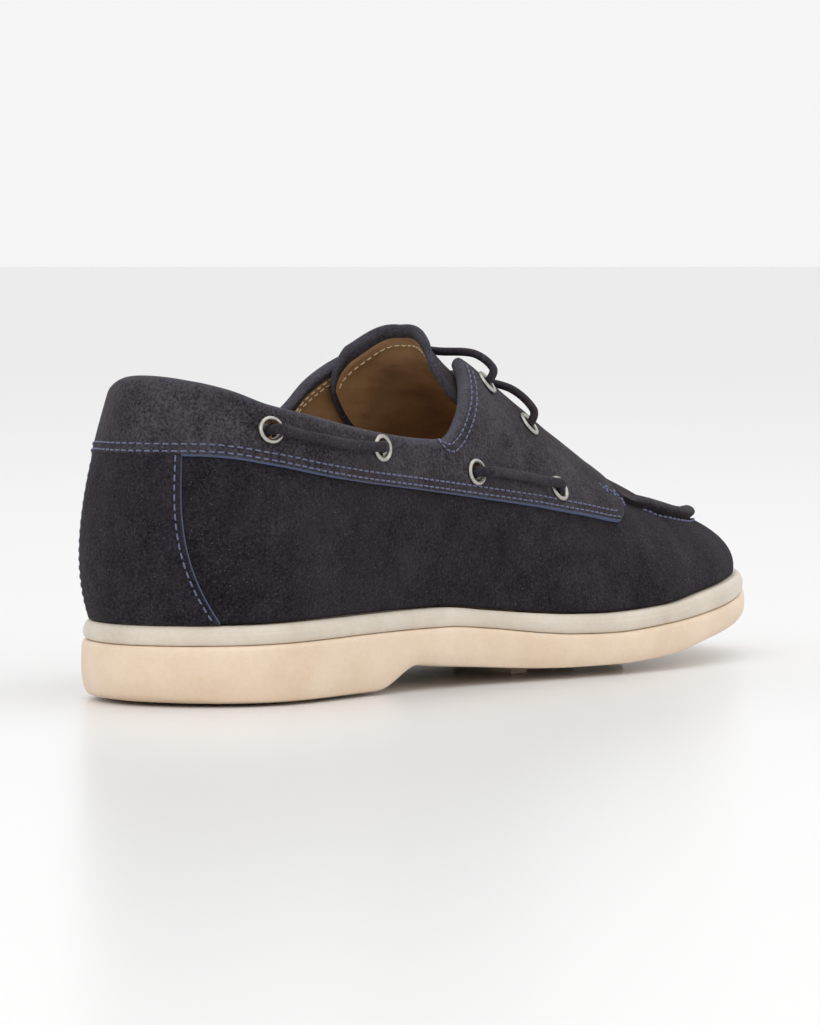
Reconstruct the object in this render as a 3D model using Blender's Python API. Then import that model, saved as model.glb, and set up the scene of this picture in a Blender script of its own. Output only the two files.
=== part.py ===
"""Boat shoe for the right foot, in metres: +X towards the toe, +Y towards the inner side, +Z up.

The origin lies on the floor under the middle of the heel. Every piece is worked out from the
outline of the sole and from one function for the skin of the last, which carries the upper, its
overlays, the tongue and the eyelets. Tables and functions count along the shoe from the heel's
back, and an empty moves the finished pieces to the origin.
"""

import math

import bpy
import bmesh
import numpy as np
from mathutils import Matrix, Vector

MM = 0.001

# Sole
SOLE_LENGTH = 0.296
BALL_WIDTH = 0.102
HEEL_WIDTH = 0.073
WAIST_WIDTH = 0.069
TOE_WIDTH = 0.072
HEEL_STACK = 0.0235
TREAD_DEPTH = 0.002
TREAD_BARS_FROM = 0.162
TREAD_BARS_TO = 0.206
TREAD_BAR_LENGTH = 0.0085
TREAD_BAR_SLANT = 0.030
TREAD_BAR_INSETS = (0.027, 0.036, 0.036, 0.036, 0.025)
TREAD_INSET = 0.020
SIDE_BULGE = 0.0012
RAND_ROUNDING = 0.0022

# The frame's origin: on the floor under the middle of the heel, this far from the heel's back
HEEL_SEAT = 0.040

# Upper
INSTEP_HEIGHT = 0.100
FEATHER_INSET = 0.0036
UPPER_WALL = 0.002
OVERLAY_WALL = 0.0013
THROAT_HALF_WIDTH = 0.019
THROAT_START = 0.120
THROAT_END = 0.205
THROAT_ROUNDING = 0.016
COUNTER_HALF_WIDTH_TOP = 0.0150
COUNTER_HALF_WIDTH_BOTTOM = 0.0255
COUNTER_INNER_EXTRA = 0.0100

# Apron
APRON_HALF_WIDTH_OUTER = 0.033
APRON_HALF_WIDTH_INNER = 0.030
APRON_ROUNDNESS = 2.6
APRON_START = 0.2085
APRON_FRONT = 0.268
APRON_WALL = 0.0015
APRON_GAP = 0.0005
LIP_HEIGHT = 0.0040
LIP_WIDTH = 0.0038

# Tongue, insole, eyelets and laces
TONGUE_WALL = 0.0024
TONGUE_CORNER = 0.011
TONGUE_FLARE = 0.0052
TONGUE_FLARE_SHARE = 0.085
TONGUE_RIM_SHARE = 0.03
TONGUE_START = 0.127
TONGUE_END = 0.214
INSOLE_THICKNESS = 0.003
INSOLE_CLEARANCE = 0.0010
EYELET_RADIUS = 0.0040
EYELET_BORE = 0.0027
EYELET_WALL = 0.0004
EYELET_LIP = 0.0008
LACE_RADIUS = 0.0015

# Clearances between pieces
GAP = 0.0003
FEATHER_GAP = 0.0005
TONGUE_GAP = 0.0013

WIDTHS = {"heel": HEEL_WIDTH, "waist": WAIST_WIDTH, "ball": BALL_WIDTH, "toe": TOE_WIDTH}

# Sole outline: along is a share of the sole's length, out a share of half the named width
OUTLINE_OUTER = (
    # along, out, width
    (0.000, 0.00, "heel"),
    (0.035, 0.68, "heel"),
    (0.112, 1.00, "heel"),
    (0.235, 1.03, "waist"),
    (0.369, 1.08, "waist"),
    (0.497, 0.85, "ball"),
    (0.617, 0.95, "ball"),
    (0.728, 0.95, "ball"),
    (0.832, 0.82, "ball"),
    (0.919, 0.77, "toe"),
    (0.980, 0.26, "toe"),
    (1.000, -0.25, "toe"),
)
OUTLINE_INNER = (
    # along, out, width
    (0.000, 0.00, "heel"),
    (0.035, 0.66, "heel"),
    (0.112, 0.97, "heel"),
    (0.235, 0.98, "waist"),
    (0.356, 0.92, "waist"),
    (0.470, 0.71, "ball"),
    (0.587, 0.90, "ball"),
    (0.701, 1.04, "ball"),
    (0.815, 1.00, "ball"),
    (0.912, 1.14, "toe"),
    (0.976, 0.74, "toe"),
    (1.000, 0.25, "toe"),
)

# Heights of the sole, as shares of the stack under the heel
SOLE_HEIGHTS = (
    # along, bottom edge, side tread, middle tread, groove, rand top
    (0.000, 0.150, 0.060, 0.000, 0.722, 0.958),
    (0.050, 0.085, 0.040, 0.000, 0.728, 0.961),
    (0.134, 0.075, 0.035, 0.000, 0.744, 0.978),
    (0.248, 0.095, 0.035, 0.000, 0.758, 0.992),
    (0.309, 0.344, 0.310, 0.310, 0.762, 1.000),
    (0.350, 0.298, 0.270, 0.270, 0.760, 0.998),
    (0.409, 0.238, 0.220, 0.215, 0.706, 0.933),
    (0.480, 0.174, 0.160, 0.150, 0.608, 0.851),
    (0.527, 0.153, 0.140, 0.085, 0.562, 0.811),
    (0.587, 0.149, 0.136, 0.080, 0.545, 0.792),
    (0.675, 0.202, 0.185, 0.080, 0.604, 0.835),
    (0.765, 0.364, 0.330, 0.220, 0.703, 0.974),
    (0.856, 0.494, 0.450, 0.380, 0.823, 1.075),
    (0.940, 0.593, 0.550, 0.510, 0.937, 1.135),
    (1.000, 0.677, 0.640, 0.620, 0.990, 1.187),
)

# Ribs of the last's skin. Each starts at the feather edge and ends on the crest.
# crest along: share of the sole's length; crest across: share of half the ball's width, outer side
# negative; crest height and rises: shares of the instep's height; swells: shares of half the ball
RIBS_OUTER = (
    # crest along, across, height, low swell, low rise, high swell, high drop, forward turn
    (0.043, 0.00, 1.12, 0.175, 0.30, 0.08, 0.26, 0.00),
    (0.078, -0.26, 1.13, 0.185, 0.30, 0.105, 0.26, 0.00),
    (0.130, -0.36, 1.15, 0.110, 0.31, 0.25, 0.26, 0.00),
    (0.245, -0.30, 1.17, 0.140, 0.33, 0.44, 0.26, 0.00),
    (0.385, 0.00, 1.085, 0.165, 0.34, 0.63, 0.02, 0.00),
    (0.495, 0.04, 0.975, 0.150, 0.30, 0.424, 0.00, 0.00),
    (0.605, 0.07, 0.790, 0.099, 0.24, 0.350, 0.00, 0.00),
    (0.700, 0.10, 0.640, 0.060, 0.17, 0.300, 0.00, 0.00),
    (0.772, 0.12, 0.530, 0.055, 0.15, 0.360, 0.00, 0.14),
    (0.815, 0.14, 0.503, 0.045, 0.13, 0.390, 0.00, 0.45),
    (0.835, 0.16, 0.483, 0.040, 0.11, 0.400, 0.00, 0.82),
    (0.840, 0.17, 0.478, 0.035, 0.10, 0.420, 0.00, 1.00),
)
RIBS_INNER = (
    # crest along, across, height, low swell, low rise, high swell, high drop, forward turn
    (0.043, 0.00, 1.12, 0.175, 0.30, 0.08, 0.26, 0.00),
    (0.078, 0.26, 1.13, 0.185, 0.30, 0.105, 0.26, 0.00),
    (0.130, 0.36, 1.15, 0.110, 0.31, 0.27, 0.26, 0.00),
    (0.245, 0.34, 1.17, 0.220, 0.33, 0.50, 0.26, 0.00),
    (0.385, 0.10, 1.085, 0.260, 0.34, 0.60, 0.02, 0.00),
    (0.495, 0.04, 0.975, 0.180, 0.31, 0.440, 0.00, 0.00),
    (0.605, 0.07, 0.790, 0.120, 0.26, 0.390, 0.00, 0.00),
    (0.700, 0.10, 0.640, 0.080, 0.20, 0.350, 0.00, 0.00),
    (0.772, 0.12, 0.530, 0.060, 0.16, 0.390, 0.00, 0.14),
    (0.815, 0.14, 0.503, 0.050, 0.14, 0.400, 0.00, 0.45),
    (0.835, 0.16, 0.483, 0.040, 0.11, 0.410, 0.00, 0.82),
    (0.840, 0.17, 0.478, 0.035, 0.10, 0.420, 0.00, 1.00),
)

# Top line of the collar and the rear edge of the wing: along and height as above
TOPLINE_OUTER = (
    # along, height
    (-0.050, 0.922),
    (0.020, 0.920),
    (0.049, 0.900),
    (0.067, 0.880),
    (0.096, 0.838),
    (0.144, 0.805),
    (0.194, 0.773),
    (0.252, 0.745),
    (0.304, 0.728),
    (0.345, 0.722),
    (0.362, 0.738),
    (0.385, 0.785),
    (0.404, 0.834),
    (0.421, 0.888),
    (0.439, 0.944),
    (0.455, 0.977),
    (0.470, 1.000),
    (0.600, 1.200),
)
TOPLINE_INNER = (
    # along, height
    (-0.050, 0.922),
    (0.020, 0.920),
    (0.049, 0.902),
    (0.067, 0.890),
    (0.096, 0.862),
    (0.144, 0.835),
    (0.194, 0.805),
    (0.252, 0.777),
    (0.304, 0.758),
    (0.343, 0.755),
    (0.360, 0.770),
    (0.382, 0.820),
    (0.400, 0.884),
    (0.420, 0.930),
    (0.436, 0.960),
    (0.450, 0.985),
    (0.600, 1.200),
)

# Lower edge of the collar band and side panel, along and height
BAND_SEAM = (
    # along, height
    (-0.050, 0.697),
    (0.034, 0.694),
    (0.095, 0.664),
    (0.152, 0.633),
    (0.212, 0.609),
    (0.297, 0.581),
    (0.386, 0.549),
    (0.476, 0.514),
    (0.568, 0.474),
    (0.634, 0.447),
    (0.700, 0.430),
)
# Front edge of the side panel, height and along
BAND_FRONT = (
    # height, along
    (0.380, 0.622),
    (0.445, 0.628),
    (0.470, 0.646),
    (0.520, 0.668),
    (0.570, 0.684),
    (0.640, 0.690),
    (0.800, 0.690),
)

# Edge of the tongue: along, and height of its side edge
TONGUE_EDGE = (
    # along, height
    (0.380, 0.935),
    (0.403, 0.925),
    (0.425, 0.850),
    (0.450, 0.770),
    (0.485, 0.700),
    (0.545, 0.620),
    (0.610, 0.560),
    (0.660, 0.520),
    (0.730, 0.490),
)

# Depth by which the tongue's middle sinks between the wings
TONGUE_SINK = (
    # share of its length, depth
    (0.00, 0.0000),
    (0.05, 0.0010),
    (0.11, 0.0035),
    (0.21, 0.0058),
    (0.35, 0.0065),
    (0.60, 0.0040),
    (0.85, 0.0000),
    (1.00, 0.0000),
)

# Eyelets: name, along on the outer side, along on the inner side, height
EYELETS = (
    ("heel_rear", 0.092, 0.122, 0.762),
    ("heel_front", 0.236, 0.250, 0.703),
    ("side_rear", 0.389, 0.389, 0.620),
    ("side_front", 0.527, 0.527, 0.554),
    ("throat_top", 0.474, 0.474, 0.866),
    ("throat_low", 0.528, 0.528, 0.738),
)
SIDES = (("outer", -1.0), ("inner", 1.0))
ROWS = len(OUTLINE_OUTER) - 1


def curve_height(table, column, along):
    """Reads one column of a table by a smooth curve that never overshoots its rows."""
    xs = np.array([row[0] for row in table])
    ys = np.array([row[column] for row in table])
    steps = np.diff(xs)
    slopes = np.diff(ys) / steps
    ends = np.concatenate([slopes[:1], slopes, slopes[-1:]])
    before = ends[:-1]
    after = ends[1:]
    same_sign = before * after > 0
    safe = np.where(same_sign, before + after, 1.0)
    tangents = np.where(same_sign, 2.0 * before * after / safe, 0.0)
    along = np.clip(along, xs[0], xs[-1])
    i = np.clip(np.searchsorted(xs, along, side="right") - 1, 0, len(xs) - 2)
    h = steps[i]
    t = (along - xs[i]) / h
    return (
        ys[i] * (1 + 2 * t) * (1 - t) ** 2
        + tangents[i] * h * t * (1 - t) ** 2
        + ys[i + 1] * t * t * (3 - 2 * t)
        + tangents[i + 1] * h * t * t * (t - 1)
    )


def closed_spline(values, u):
    """A curve with smooth bends through rows that close on themselves, u counted in rows."""
    n = len(values)
    system = 4.0 * np.eye(n) + np.roll(np.eye(n), 1, axis=1) + np.roll(np.eye(n), -1, axis=1)
    ahead = np.roll(values, -1, axis=0)
    behind = np.roll(values, 1, axis=0)
    bends = np.linalg.solve(system, 6.0 * (ahead - 2.0 * values + behind))
    u = np.mod(u, n)
    i = np.floor(u).astype(int) % n
    j = (i + 1) % n
    t = (u - np.floor(u))[..., None]
    s = 1.0 - t
    return (
        values[i] * s
        + values[j] * t
        + (s**3 - s) * bends[i] / 6.0
        + (t**3 - t) * bends[j] / 6.0
    )


def around(outer, inner):
    """Joins rows of the outer side, heel to toe, and of the inner side, toe to heel."""
    return np.concatenate([outer, inner[-2:0:-1]])


def outline_rows():
    sides = []
    for sign, table in ((-1.0, OUTLINE_OUTER), (1.0, OUTLINE_INNER)):
        rows = [
            (along * SOLE_LENGTH, sign * out * WIDTHS[width] / 2.0)
            for along, out, width in table
        ]
        sides.append(np.array(rows))
    return around(sides[0], sides[1])


def rib_rows():
    half_ball = BALL_WIDTH / 2.0
    scale = np.array(
        [
            SOLE_LENGTH,
            half_ball,
            INSTEP_HEIGHT,
            half_ball,
            INSTEP_HEIGHT,
            half_ball,
            INSTEP_HEIGHT,
            1.0,
        ]
    )
    return around(np.array(RIBS_OUTER) * scale, np.array(RIBS_INNER) * scale)


OUTLINE = outline_rows()
RIBS = rib_rows()


def round_place(t, side):
    """Place on the closed outline of a station t, 0 at the heel and ROWS at the toe."""
    return t if side < 0 else 2 * ROWS - t


def sole_edge(u, inset):
    """Plan of the sole's edge at u, moved inwards by inset along the edge's normal."""
    step = 0.01
    here = closed_spline(OUTLINE, u)
    run = closed_spline(OUTLINE, u + step) - closed_spline(OUTLINE, u - step)
    run /= np.linalg.norm(run, axis=-1, keepdims=True)
    inwards = np.stack([-run[..., 1], run[..., 0]], axis=-1)
    inset = np.broadcast_to(inset, np.shape(u))[..., None]
    return here + inwards * inset


def sole_height(x, column):
    return curve_height(SOLE_HEIGHTS, column, x / SOLE_LENGTH) * HEEL_STACK


BOTTOM_EDGE, SIDE_TREAD, TREAD, GROOVE, RAND_TOP = 1, 2, 3, 4, 5


def skin(u, v):
    """The last's skin at round place u and share v up the rib, by cubic arcs between two rails."""
    u, v = np.broadcast_arrays(np.asarray(u, float), np.asarray(v, float))
    plan = sole_edge(u, FEATHER_INSET)
    foot = np.concatenate([plan, (sole_height(plan[..., 0], RAND_TOP) + FEATHER_GAP)[..., None]], axis=-1)
    rib = closed_spline(RIBS, u)
    station = np.minimum(u, 2 * ROWS - u)
    on_spine = np.clip((station - 3.6) / 0.8, 0.0, 1.0)
    shared = on_spine * on_spine * (3.0 - 2.0 * on_spine) / 2.0
    crest = rib[..., 0:3].copy()
    across_there = closed_spline(RIBS, 2 * ROWS - u)[..., 1]
    crest[..., 1] = crest[..., 1] * (1.0 - shared) + across_there * shared
    out = foot[..., 0:2] - crest[..., 0:2]
    out /= np.linalg.norm(out, axis=-1, keepdims=True)
    low = foot.copy()
    low[..., 0:2] += out * rib[..., 3:4]
    low[..., 2] += rib[..., 4]
    turn = np.clip(rib[..., 7], 0.0, 1.0) * math.pi / 2.0
    slope = crest_slope(station)
    side = np.where(u <= ROWS, -1.0, 1.0)
    on_spine = on_spine[..., None]
    across = np.stack([0 * turn, side * np.cos(turn), 0 * turn], axis=-1)
    forward = np.stack([np.sin(turn), 0 * turn, np.sin(turn) * slope], axis=-1)
    spread = np.concatenate([out, np.zeros_like(out[..., :1])], axis=-1)
    direction = on_spine * (across + forward) + (1.0 - on_spine) * spread
    high = crest + direction * rib[..., 5:6]
    high[..., 2] -= rib[..., 6]
    v = v[..., None]
    w = 1.0 - v
    return w**3 * foot + 3 * w * w * v * low + 3 * w * v * v * high + v**3 * crest


def crest_slope(station):
    """Rise of the crest for each metre forward, read from the outer side's rows."""
    step = 0.05
    back = closed_spline(RIBS, np.clip(station - step, 0.0, ROWS - step))
    front = closed_spline(RIBS, np.clip(station + step, step, ROWS))
    run = np.maximum(front[..., 0] - back[..., 0], 1e-6)
    return np.clip((front[..., 2] - back[..., 2]) / run, -1.2, 0.6)


def one_side_normal(u, v):
    du = 0.02
    dv = 0.01
    v = np.minimum(v, 0.975)
    along = skin(u + du, v) - skin(u - du, v)
    up = skin(u, v + dv) - skin(u, np.maximum(v - dv, 0.0))
    normal = np.cross(along, up)
    return normal / np.linalg.norm(normal, axis=-1, keepdims=True)


def skin_normal(u, v):
    """Outward direction of the skin. Towards the crest both sides' directions run into one."""
    here = one_side_normal(u, v)
    there = one_side_normal(2 * ROWS - u, v)
    station = np.minimum(u, 2 * ROWS - u)
    near = np.clip((v - 0.88) / 0.12, 0.0, 1.0) * np.clip((station - 4.0) * 2.0, 0.0, 1.0)
    share = (near * near * (3.0 - 2.0 * near) / 2.0)[..., None]
    normal = here * (1.0 - share) + there * share
    return normal / np.linalg.norm(normal, axis=-1, keepdims=True)


def skin_at(u, v, offset):
    """The skin moved outwards by offset along its normal."""
    offset = np.broadcast_to(offset, np.broadcast(u, v).shape)[..., None]
    return skin(u, v) + skin_normal(u, v) * offset


def crest_across(x):
    """Where the crest lies across the shoe, at a place along it."""
    rows = np.array(RIBS_OUTER)
    order = rows[4:]
    return np.interp(x / SOLE_LENGTH, order[:, 0], order[:, 1]) * BALL_WIDTH / 2.0


FINE = 241


def first_share(t, side, kept):
    """Highest share v that each rib keeps, going up from the feather edge, where kept is above 0."""
    v = np.linspace(0.0, 1.0, FINE)
    u = round_place(t, side)
    points = skin(u[:, None], v[None, :])
    value = kept(points)
    gone = value <= 0.0
    gone[:, 0] = False
    found = gone.any(axis=1)
    i = np.where(found, gone.argmax(axis=1), FINE - 1)
    rows = np.arange(len(t))
    high = value[rows, i]
    low = value[rows, np.maximum(i - 1, 0)]
    part = np.where(found, low / np.maximum(low - high, 1e-12), 1.0)
    return np.where(found, (i - 1 + part) / (FINE - 1), 1.0)


def topline_height(x, side):
    """Height of the top line, the same on both sides at the heel's back."""
    along = x / SOLE_LENGTH
    outer = curve_height(TOPLINE_OUTER, 1, along)
    inner = curve_height(TOPLINE_INNER, 1, along)
    share = np.clip((along - 0.04) / 0.08, 0.0, 1.0) if side > 0 else 0.0
    return (outer + (inner - outer) * share) * INSTEP_HEIGHT


def topline_share(t, side):
    def kept(points):
        x = points[..., 0]
        z = points[..., 2]
        below = topline_height(x, side) - z
        reach = THROAT_END - x
        open_part = np.clip(reach / THROAT_ROUNDING, 0.0, 1.0)
        half = THROAT_HALF_WIDTH * np.sqrt(1.0 - (1.0 - open_part) ** 2)
        beside = np.abs(points[..., 1] - crest_across(x)) - half
        beside = np.where((reach > 0.0) & (x > THROAT_START), beside, 1.0)
        return np.minimum(below, beside)

    return first_share(t, side, kept)


def seam_share(t, side):
    def kept(points):
        seam = curve_height(BAND_SEAM, 1, points[..., 0] / SOLE_LENGTH) * INSTEP_HEIGHT
        return seam - points[..., 2]

    return first_share(t, side, kept)


def apron_share(t, side):
    """Share up each rib where it meets the apron's rounded outline."""
    centre = crest_across(APRON_START + 0.3 * (APRON_FRONT - APRON_START))

    def kept(points):
        reach = (points[..., 0] - APRON_START) / (APRON_FRONT - APRON_START)
        reach = np.clip(reach, 0.0, 2.0)
        across = points[..., 1] - centre
        half = np.where(across < 0.0, APRON_HALF_WIDTH_OUTER, APRON_HALF_WIDTH_INNER)
        across = np.abs(across) / half
        return np.sqrt(reach**APRON_ROUNDNESS + across**APRON_ROUNDNESS) - 1.0

    return first_share(t, side, kept)


def tongue_share(t, side):
    def kept(points):
        edge = curve_height(TONGUE_EDGE, 1, points[..., 0] / SOLE_LENGTH) * INSTEP_HEIGHT
        return edge - points[..., 2]

    return first_share(t, side, kept)


def station_at(x, side):
    """Station whose rib starts at x along the shoe."""
    t = np.linspace(0.0, ROWS, 400)
    return np.interp(x, sole_edge(round_place(t, side), FEATHER_INSET)[:, 0], t)


def station_over(x):
    """Station whose rib ends at x on the crest."""
    t = np.linspace(4.0, ROWS, 400)
    return np.interp(x, closed_spline(RIBS, t)[:, 0], t)


def material(name, colour, roughness, metallic=0.0):
    made = bpy.data.materials.new(name)
    made.use_nodes = True
    shader = made.node_tree.nodes["Principled BSDF"]
    shader.inputs["Base Color"].default_value = (*colour, 1.0)
    shader.inputs["Roughness"].default_value = roughness
    shader.inputs["Metallic"].default_value = metallic
    made.diffuse_color = (*colour, 1.0)
    return made


def add_object(name, points, faces, finish):
    mesh = bpy.data.meshes.new(name)
    mesh.from_pydata([tuple(p) for p in points], [], faces)
    work = bmesh.new()
    work.from_mesh(mesh)
    bmesh.ops.remove_doubles(work, verts=work.verts, dist=0.002 * MM)
    bmesh.ops.recalc_face_normals(work, faces=work.faces)
    work.to_mesh(mesh)
    work.free()
    mesh.materials.append(finish)
    made = bpy.data.objects.new(name, mesh)
    bpy.context.scene.collection.objects.link(made)
    return made


def grid_faces(columns, rows, start=0, closed=False):
    """Four-sided faces of a grid whose points are stored column by column."""
    faces = []
    for i in range(columns if closed else columns - 1):
        j = (i + 1) % columns
        for k in range(rows - 1):
            a = start + i * rows + k
            b = start + j * rows + k
            faces.append((a, b, b + 1, a + 1))
    return faces


def ladder_faces(columns, rows, row, start=0, flip=False):
    """Faces that span from the outer half of a closed ring of columns to the inner half."""
    half = columns // 2
    faces = []
    for i in range(half):
        a = start + i * rows + row
        b = start + (i + 1) * rows + row
        c = start + ((columns - i - 1) % columns) * rows + row
        d = start + ((columns - i) % columns) * rows + row
        ring = [a, b, c, d]
        unique = list(dict.fromkeys(ring))
        if len(unique) > 2:
            faces.append(tuple(reversed(unique)) if flip else tuple(unique))
    return faces


# Sole

# Stations of the columns, closer together round heel, breast and toe
SOLE_STATIONS = np.concatenate(
    [
        np.arange(0.0, 2.01, 0.25),
        [2.4, 2.8, 3.1, 3.3, 3.5, 3.7, 4.0, 4.4, 4.8, 5.3, 5.8, 6.3, 6.8, 7.3, 7.8],
        np.linspace(8.1, ROWS, 11),
    ]
)
SOLE_PLACES = np.concatenate([SOLE_STATIONS, 2 * ROWS - SOLE_STATIONS[-2:0:-1]])


def ring(u, inset, height):
    """A ring of the sole: its edge moved inwards, at a height that is a function of x."""
    plan = sole_edge(u, inset)
    return np.concatenate([plan, height(plan[:, 0])[:, None]], axis=1)


def ringed_solid(name, u, rings, finish):
    points = np.stack([ring(u, inset, height) for inset, height in rings], axis=1)
    columns, rows = points.shape[:2]
    faces = grid_faces(columns, rows, closed=True)
    faces += ladder_faces(columns, rows, 0)
    faces += ladder_faces(columns, rows, rows - 1, flip=True)
    return add_object(name, points.reshape(-1, 3), faces, finish)


def between(low, high, share):
    def height(x):
        return sole_height(x, low) * (1.0 - share) + sole_height(x, high) * share

    return height


def at(column, offset=0.0):
    def height(x):
        return sole_height(x, column) + offset

    return height


def outsole_profile():
    """Rings from the tread, round the side, to the seat of the midsole: inset and height."""
    return (
        (TREAD_INSET, at(TREAD)),
        (4.6 * MM, at(SIDE_TREAD)),
        (4.2 * MM, between(SIDE_TREAD, BOTTOM_EDGE, 0.8)),
        (1.6 * MM, at(BOTTOM_EDGE)),
        (0.3 * MM, between(BOTTOM_EDGE, GROOVE, 0.22)),
        (0.0, between(BOTTOM_EDGE, GROOVE, 0.62)),
        (0.3 * MM, at(GROOVE, -1.0 * MM)),
        (SIDE_BULGE, at(GROOVE, -0.15 * MM)),
        (4.5 * MM, at(GROOVE, -0.15 * MM)),
    )


def make_outsole(finish):
    body = ringed_solid("outsole", SOLE_PLACES, outsole_profile(), finish)
    for i, inset in enumerate(TREAD_BAR_INSETS):
        share = i / (len(TREAD_BAR_INSETS) - 1)
        x = TREAD_BARS_FROM + (TREAD_BARS_TO - TREAD_BARS_FROM) * share
        bar = make_tread_bar(f"tread_bar_cutter_{i + 1}", x, inset, finish)
        joined = body.modifiers.new(f"tread bar {i + 1}", "BOOLEAN")
        joined.operation = "UNION"
        joined.object = bar
    return body


def make_tread_bar(name, x, inset, finish):
    """A low bar across the forefoot, its inner end further forward, on the floor where it can."""
    corners = []
    ends = []
    for side, place in ((-1.0, x), (1.0, x + TREAD_BAR_SLANT)):
        t = station_at(place, side)
        across = sole_edge(np.array([round_place(t, side)]), inset)[0, 1]
        depth = sole_height(np.array([place]), TREAD)[0]
        ends.append((place, across, max(depth - TREAD_DEPTH, 0.0), depth + 2.0 * TREAD_DEPTH))
    half = TREAD_BAR_LENGTH / 2.0
    for level in (2, 3):
        for sx, end in ((-1, ends[0]), (1, ends[0]), (1, ends[1]), (-1, ends[1])):
            corners.append((end[0] + sx * half, end[1], end[level]))
    faces = ((3, 2, 1, 0), (4, 5, 6, 7), (0, 1, 5, 4), (1, 2, 6, 5), (2, 3, 7, 6), (3, 0, 4, 7))
    bar = add_object(name, corners, faces, finish)
    bar.hide_render = True
    bar.display_type = "WIRE"
    return bar


def midsole_profile():
    return (
        (5.5 * MM, at(GROOVE, GAP)),
        (SIDE_BULGE + 0.2 * MM, at(GROOVE, GAP)),
        (0.6 * MM, at(GROOVE, GAP + 1.0 * MM)),
        (0.7 * MM, at(RAND_TOP, -RAND_ROUNDING)),
        (1.2 * MM, at(RAND_TOP, -0.35 * RAND_ROUNDING)),
        (2.4 * MM, at(RAND_TOP)),
        (7.0 * MM, at(RAND_TOP)),
    )


def make_midsole(finish):
    return ringed_solid("midsole", SOLE_PLACES, midsole_profile(), finish)


def make_insole(finish):
    inset = FEATHER_INSET + UPPER_WALL + INSOLE_CLEARANCE
    rings = ((inset, at(RAND_TOP, GAP)), (inset, at(RAND_TOP, GAP + INSOLE_THICKNESS)))
    return ringed_solid("insole", SOLE_PLACES, rings, finish)


# Upper

# Stations of the columns, closer together round the heel, the wing and the throat's end
UPPER_STATIONS = np.concatenate(
    [
        np.arange(0.0, 1.61, 0.2),
        [1.9, 2.2, 2.6, 3.0, 3.35, 3.7],
        np.linspace(3.84, 4.7, 9),
        [4.95, 5.25, 5.6, 5.95, 6.25],
        np.linspace(6.42, 7.0, 5),
        np.linspace(7.25, ROWS, 13),
    ]
)
ROWS_BELOW_SEAM = 4
ROWS_ABOVE_SEAM = 4


def upper_shares(t, side):
    """Shares up each rib of the upper's rows, one of them on the seam of the collar band."""
    seam = seam_share(t, side)[:, None]
    top = topline_share(t, side)[:, None]
    below = np.linspace(0.0, 1.0, ROWS_BELOW_SEAM + 1)[None, :-1]
    above = np.linspace(0.0, 1.0, ROWS_ABOVE_SEAM + 1)[None, :]
    return np.concatenate([seam * below, seam + (top - seam) * above], axis=1)


def make_upper(finish):
    """The hollow upper: vamp and quarters in one wall, open at collar, throat and beneath."""
    t = UPPER_STATIONS
    points = []
    faces = []
    for _, side in SIDES:
        v = upper_shares(t, side)
        grid = skin(round_place(t, side)[:, None], v)
        faces += grid_faces(len(t), v.shape[1], start=len(points))
        points.extend(grid.reshape(-1, 3))
    upper = add_object("upper", points, faces, finish)
    orient(upper)
    wall = upper.modifiers.new("wall", "SOLIDIFY")
    wall.thickness = UPPER_WALL
    wall.offset = -1.0
    wall.use_even_offset = False
    return upper


def orient(piece):
    """Turns the faces of an open sheet so that they point away from the shoe's inside."""
    work = bmesh.new()
    work.from_mesh(piece.data)
    bmesh.ops.recalc_face_normals(work, faces=work.faces)
    work.faces.ensure_lookup_table()
    middle = Vector((0.5 * SOLE_LENGTH, 0.0, 0.35 * INSTEP_HEIGHT))
    facing = sum(f.calc_area() * f.normal.dot(f.calc_center_median() - middle) for f in work.faces)
    if facing < 0.0:
        bmesh.ops.reverse_faces(work, faces=work.faces)
    work.to_mesh(piece.data)
    work.free()


def sheet_solid(name, columns, finish):
    """A closed sheet from columns of outer and inner points, each the same length, side by side."""
    outer = [np.asarray(c[0]) for c in columns]
    inner = [np.asarray(c[1]) for c in columns]
    count = len(outer)
    rows = len(outer[0])
    points = np.concatenate([np.concatenate(outer), np.concatenate(inner)])
    shift = count * rows
    faces = grid_faces(count, rows)
    faces += [tuple(reversed(f)) for f in grid_faces(count, rows, start=shift)]
    for i in range(count - 1):
        for k in (0, rows - 1):
            a = i * rows + k
            b = (i + 1) * rows + k
            faces.append((a, b, b + shift, a + shift))
    for i in (0, count - 1):
        for k in range(rows - 1):
            a = i * rows + k
            faces.append((a, a + 1, a + 1 + shift, a + shift))
    return add_object(name, points, faces, finish)


# Least share of a rib that the band still covers, how far its front end stands off the vamp, and
# the stations between which it rises
BAND_LEAST_SHARE = 0.03
BAND_FRONT_LIFT = 0.0004
BAND_LIFT_FROM = 5.9
BAND_LIFT_STATIONS = 0.4


def band_gap(t):
    return GAP + BAND_FRONT_LIFT * min(max((t - BAND_LIFT_FROM) / BAND_LIFT_STATIONS, 0.0), 1.0)


def make_collar_band(finish):
    """Band round the collar and over the sides, on the upper's skin, open in front."""
    columns = []
    for _, side in SIDES:
        t = UPPER_STATIONS[UPPER_STATIONS <= 7.3]
        shares = upper_shares(t, side)[:, ROWS_BELOW_SEAM:]
        kept = []
        for place, v in zip(t, shares):
            limit = band_front_limit(place, side)
            v = np.clip(v, limit[0], limit[1])
            if v[-1] - v[0] > BAND_LEAST_SHARE:
                u = np.full(len(v), round_place(place, side))
                gap = band_gap(place)
                kept.append((skin_at(u, v, gap + OVERLAY_WALL), skin_at(u, v, gap)))
        columns.append(kept)
    outer, inner = columns
    chain = outer[::-1] + inner[1:]
    return sheet_solid("collar_band", chain, finish)


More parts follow.
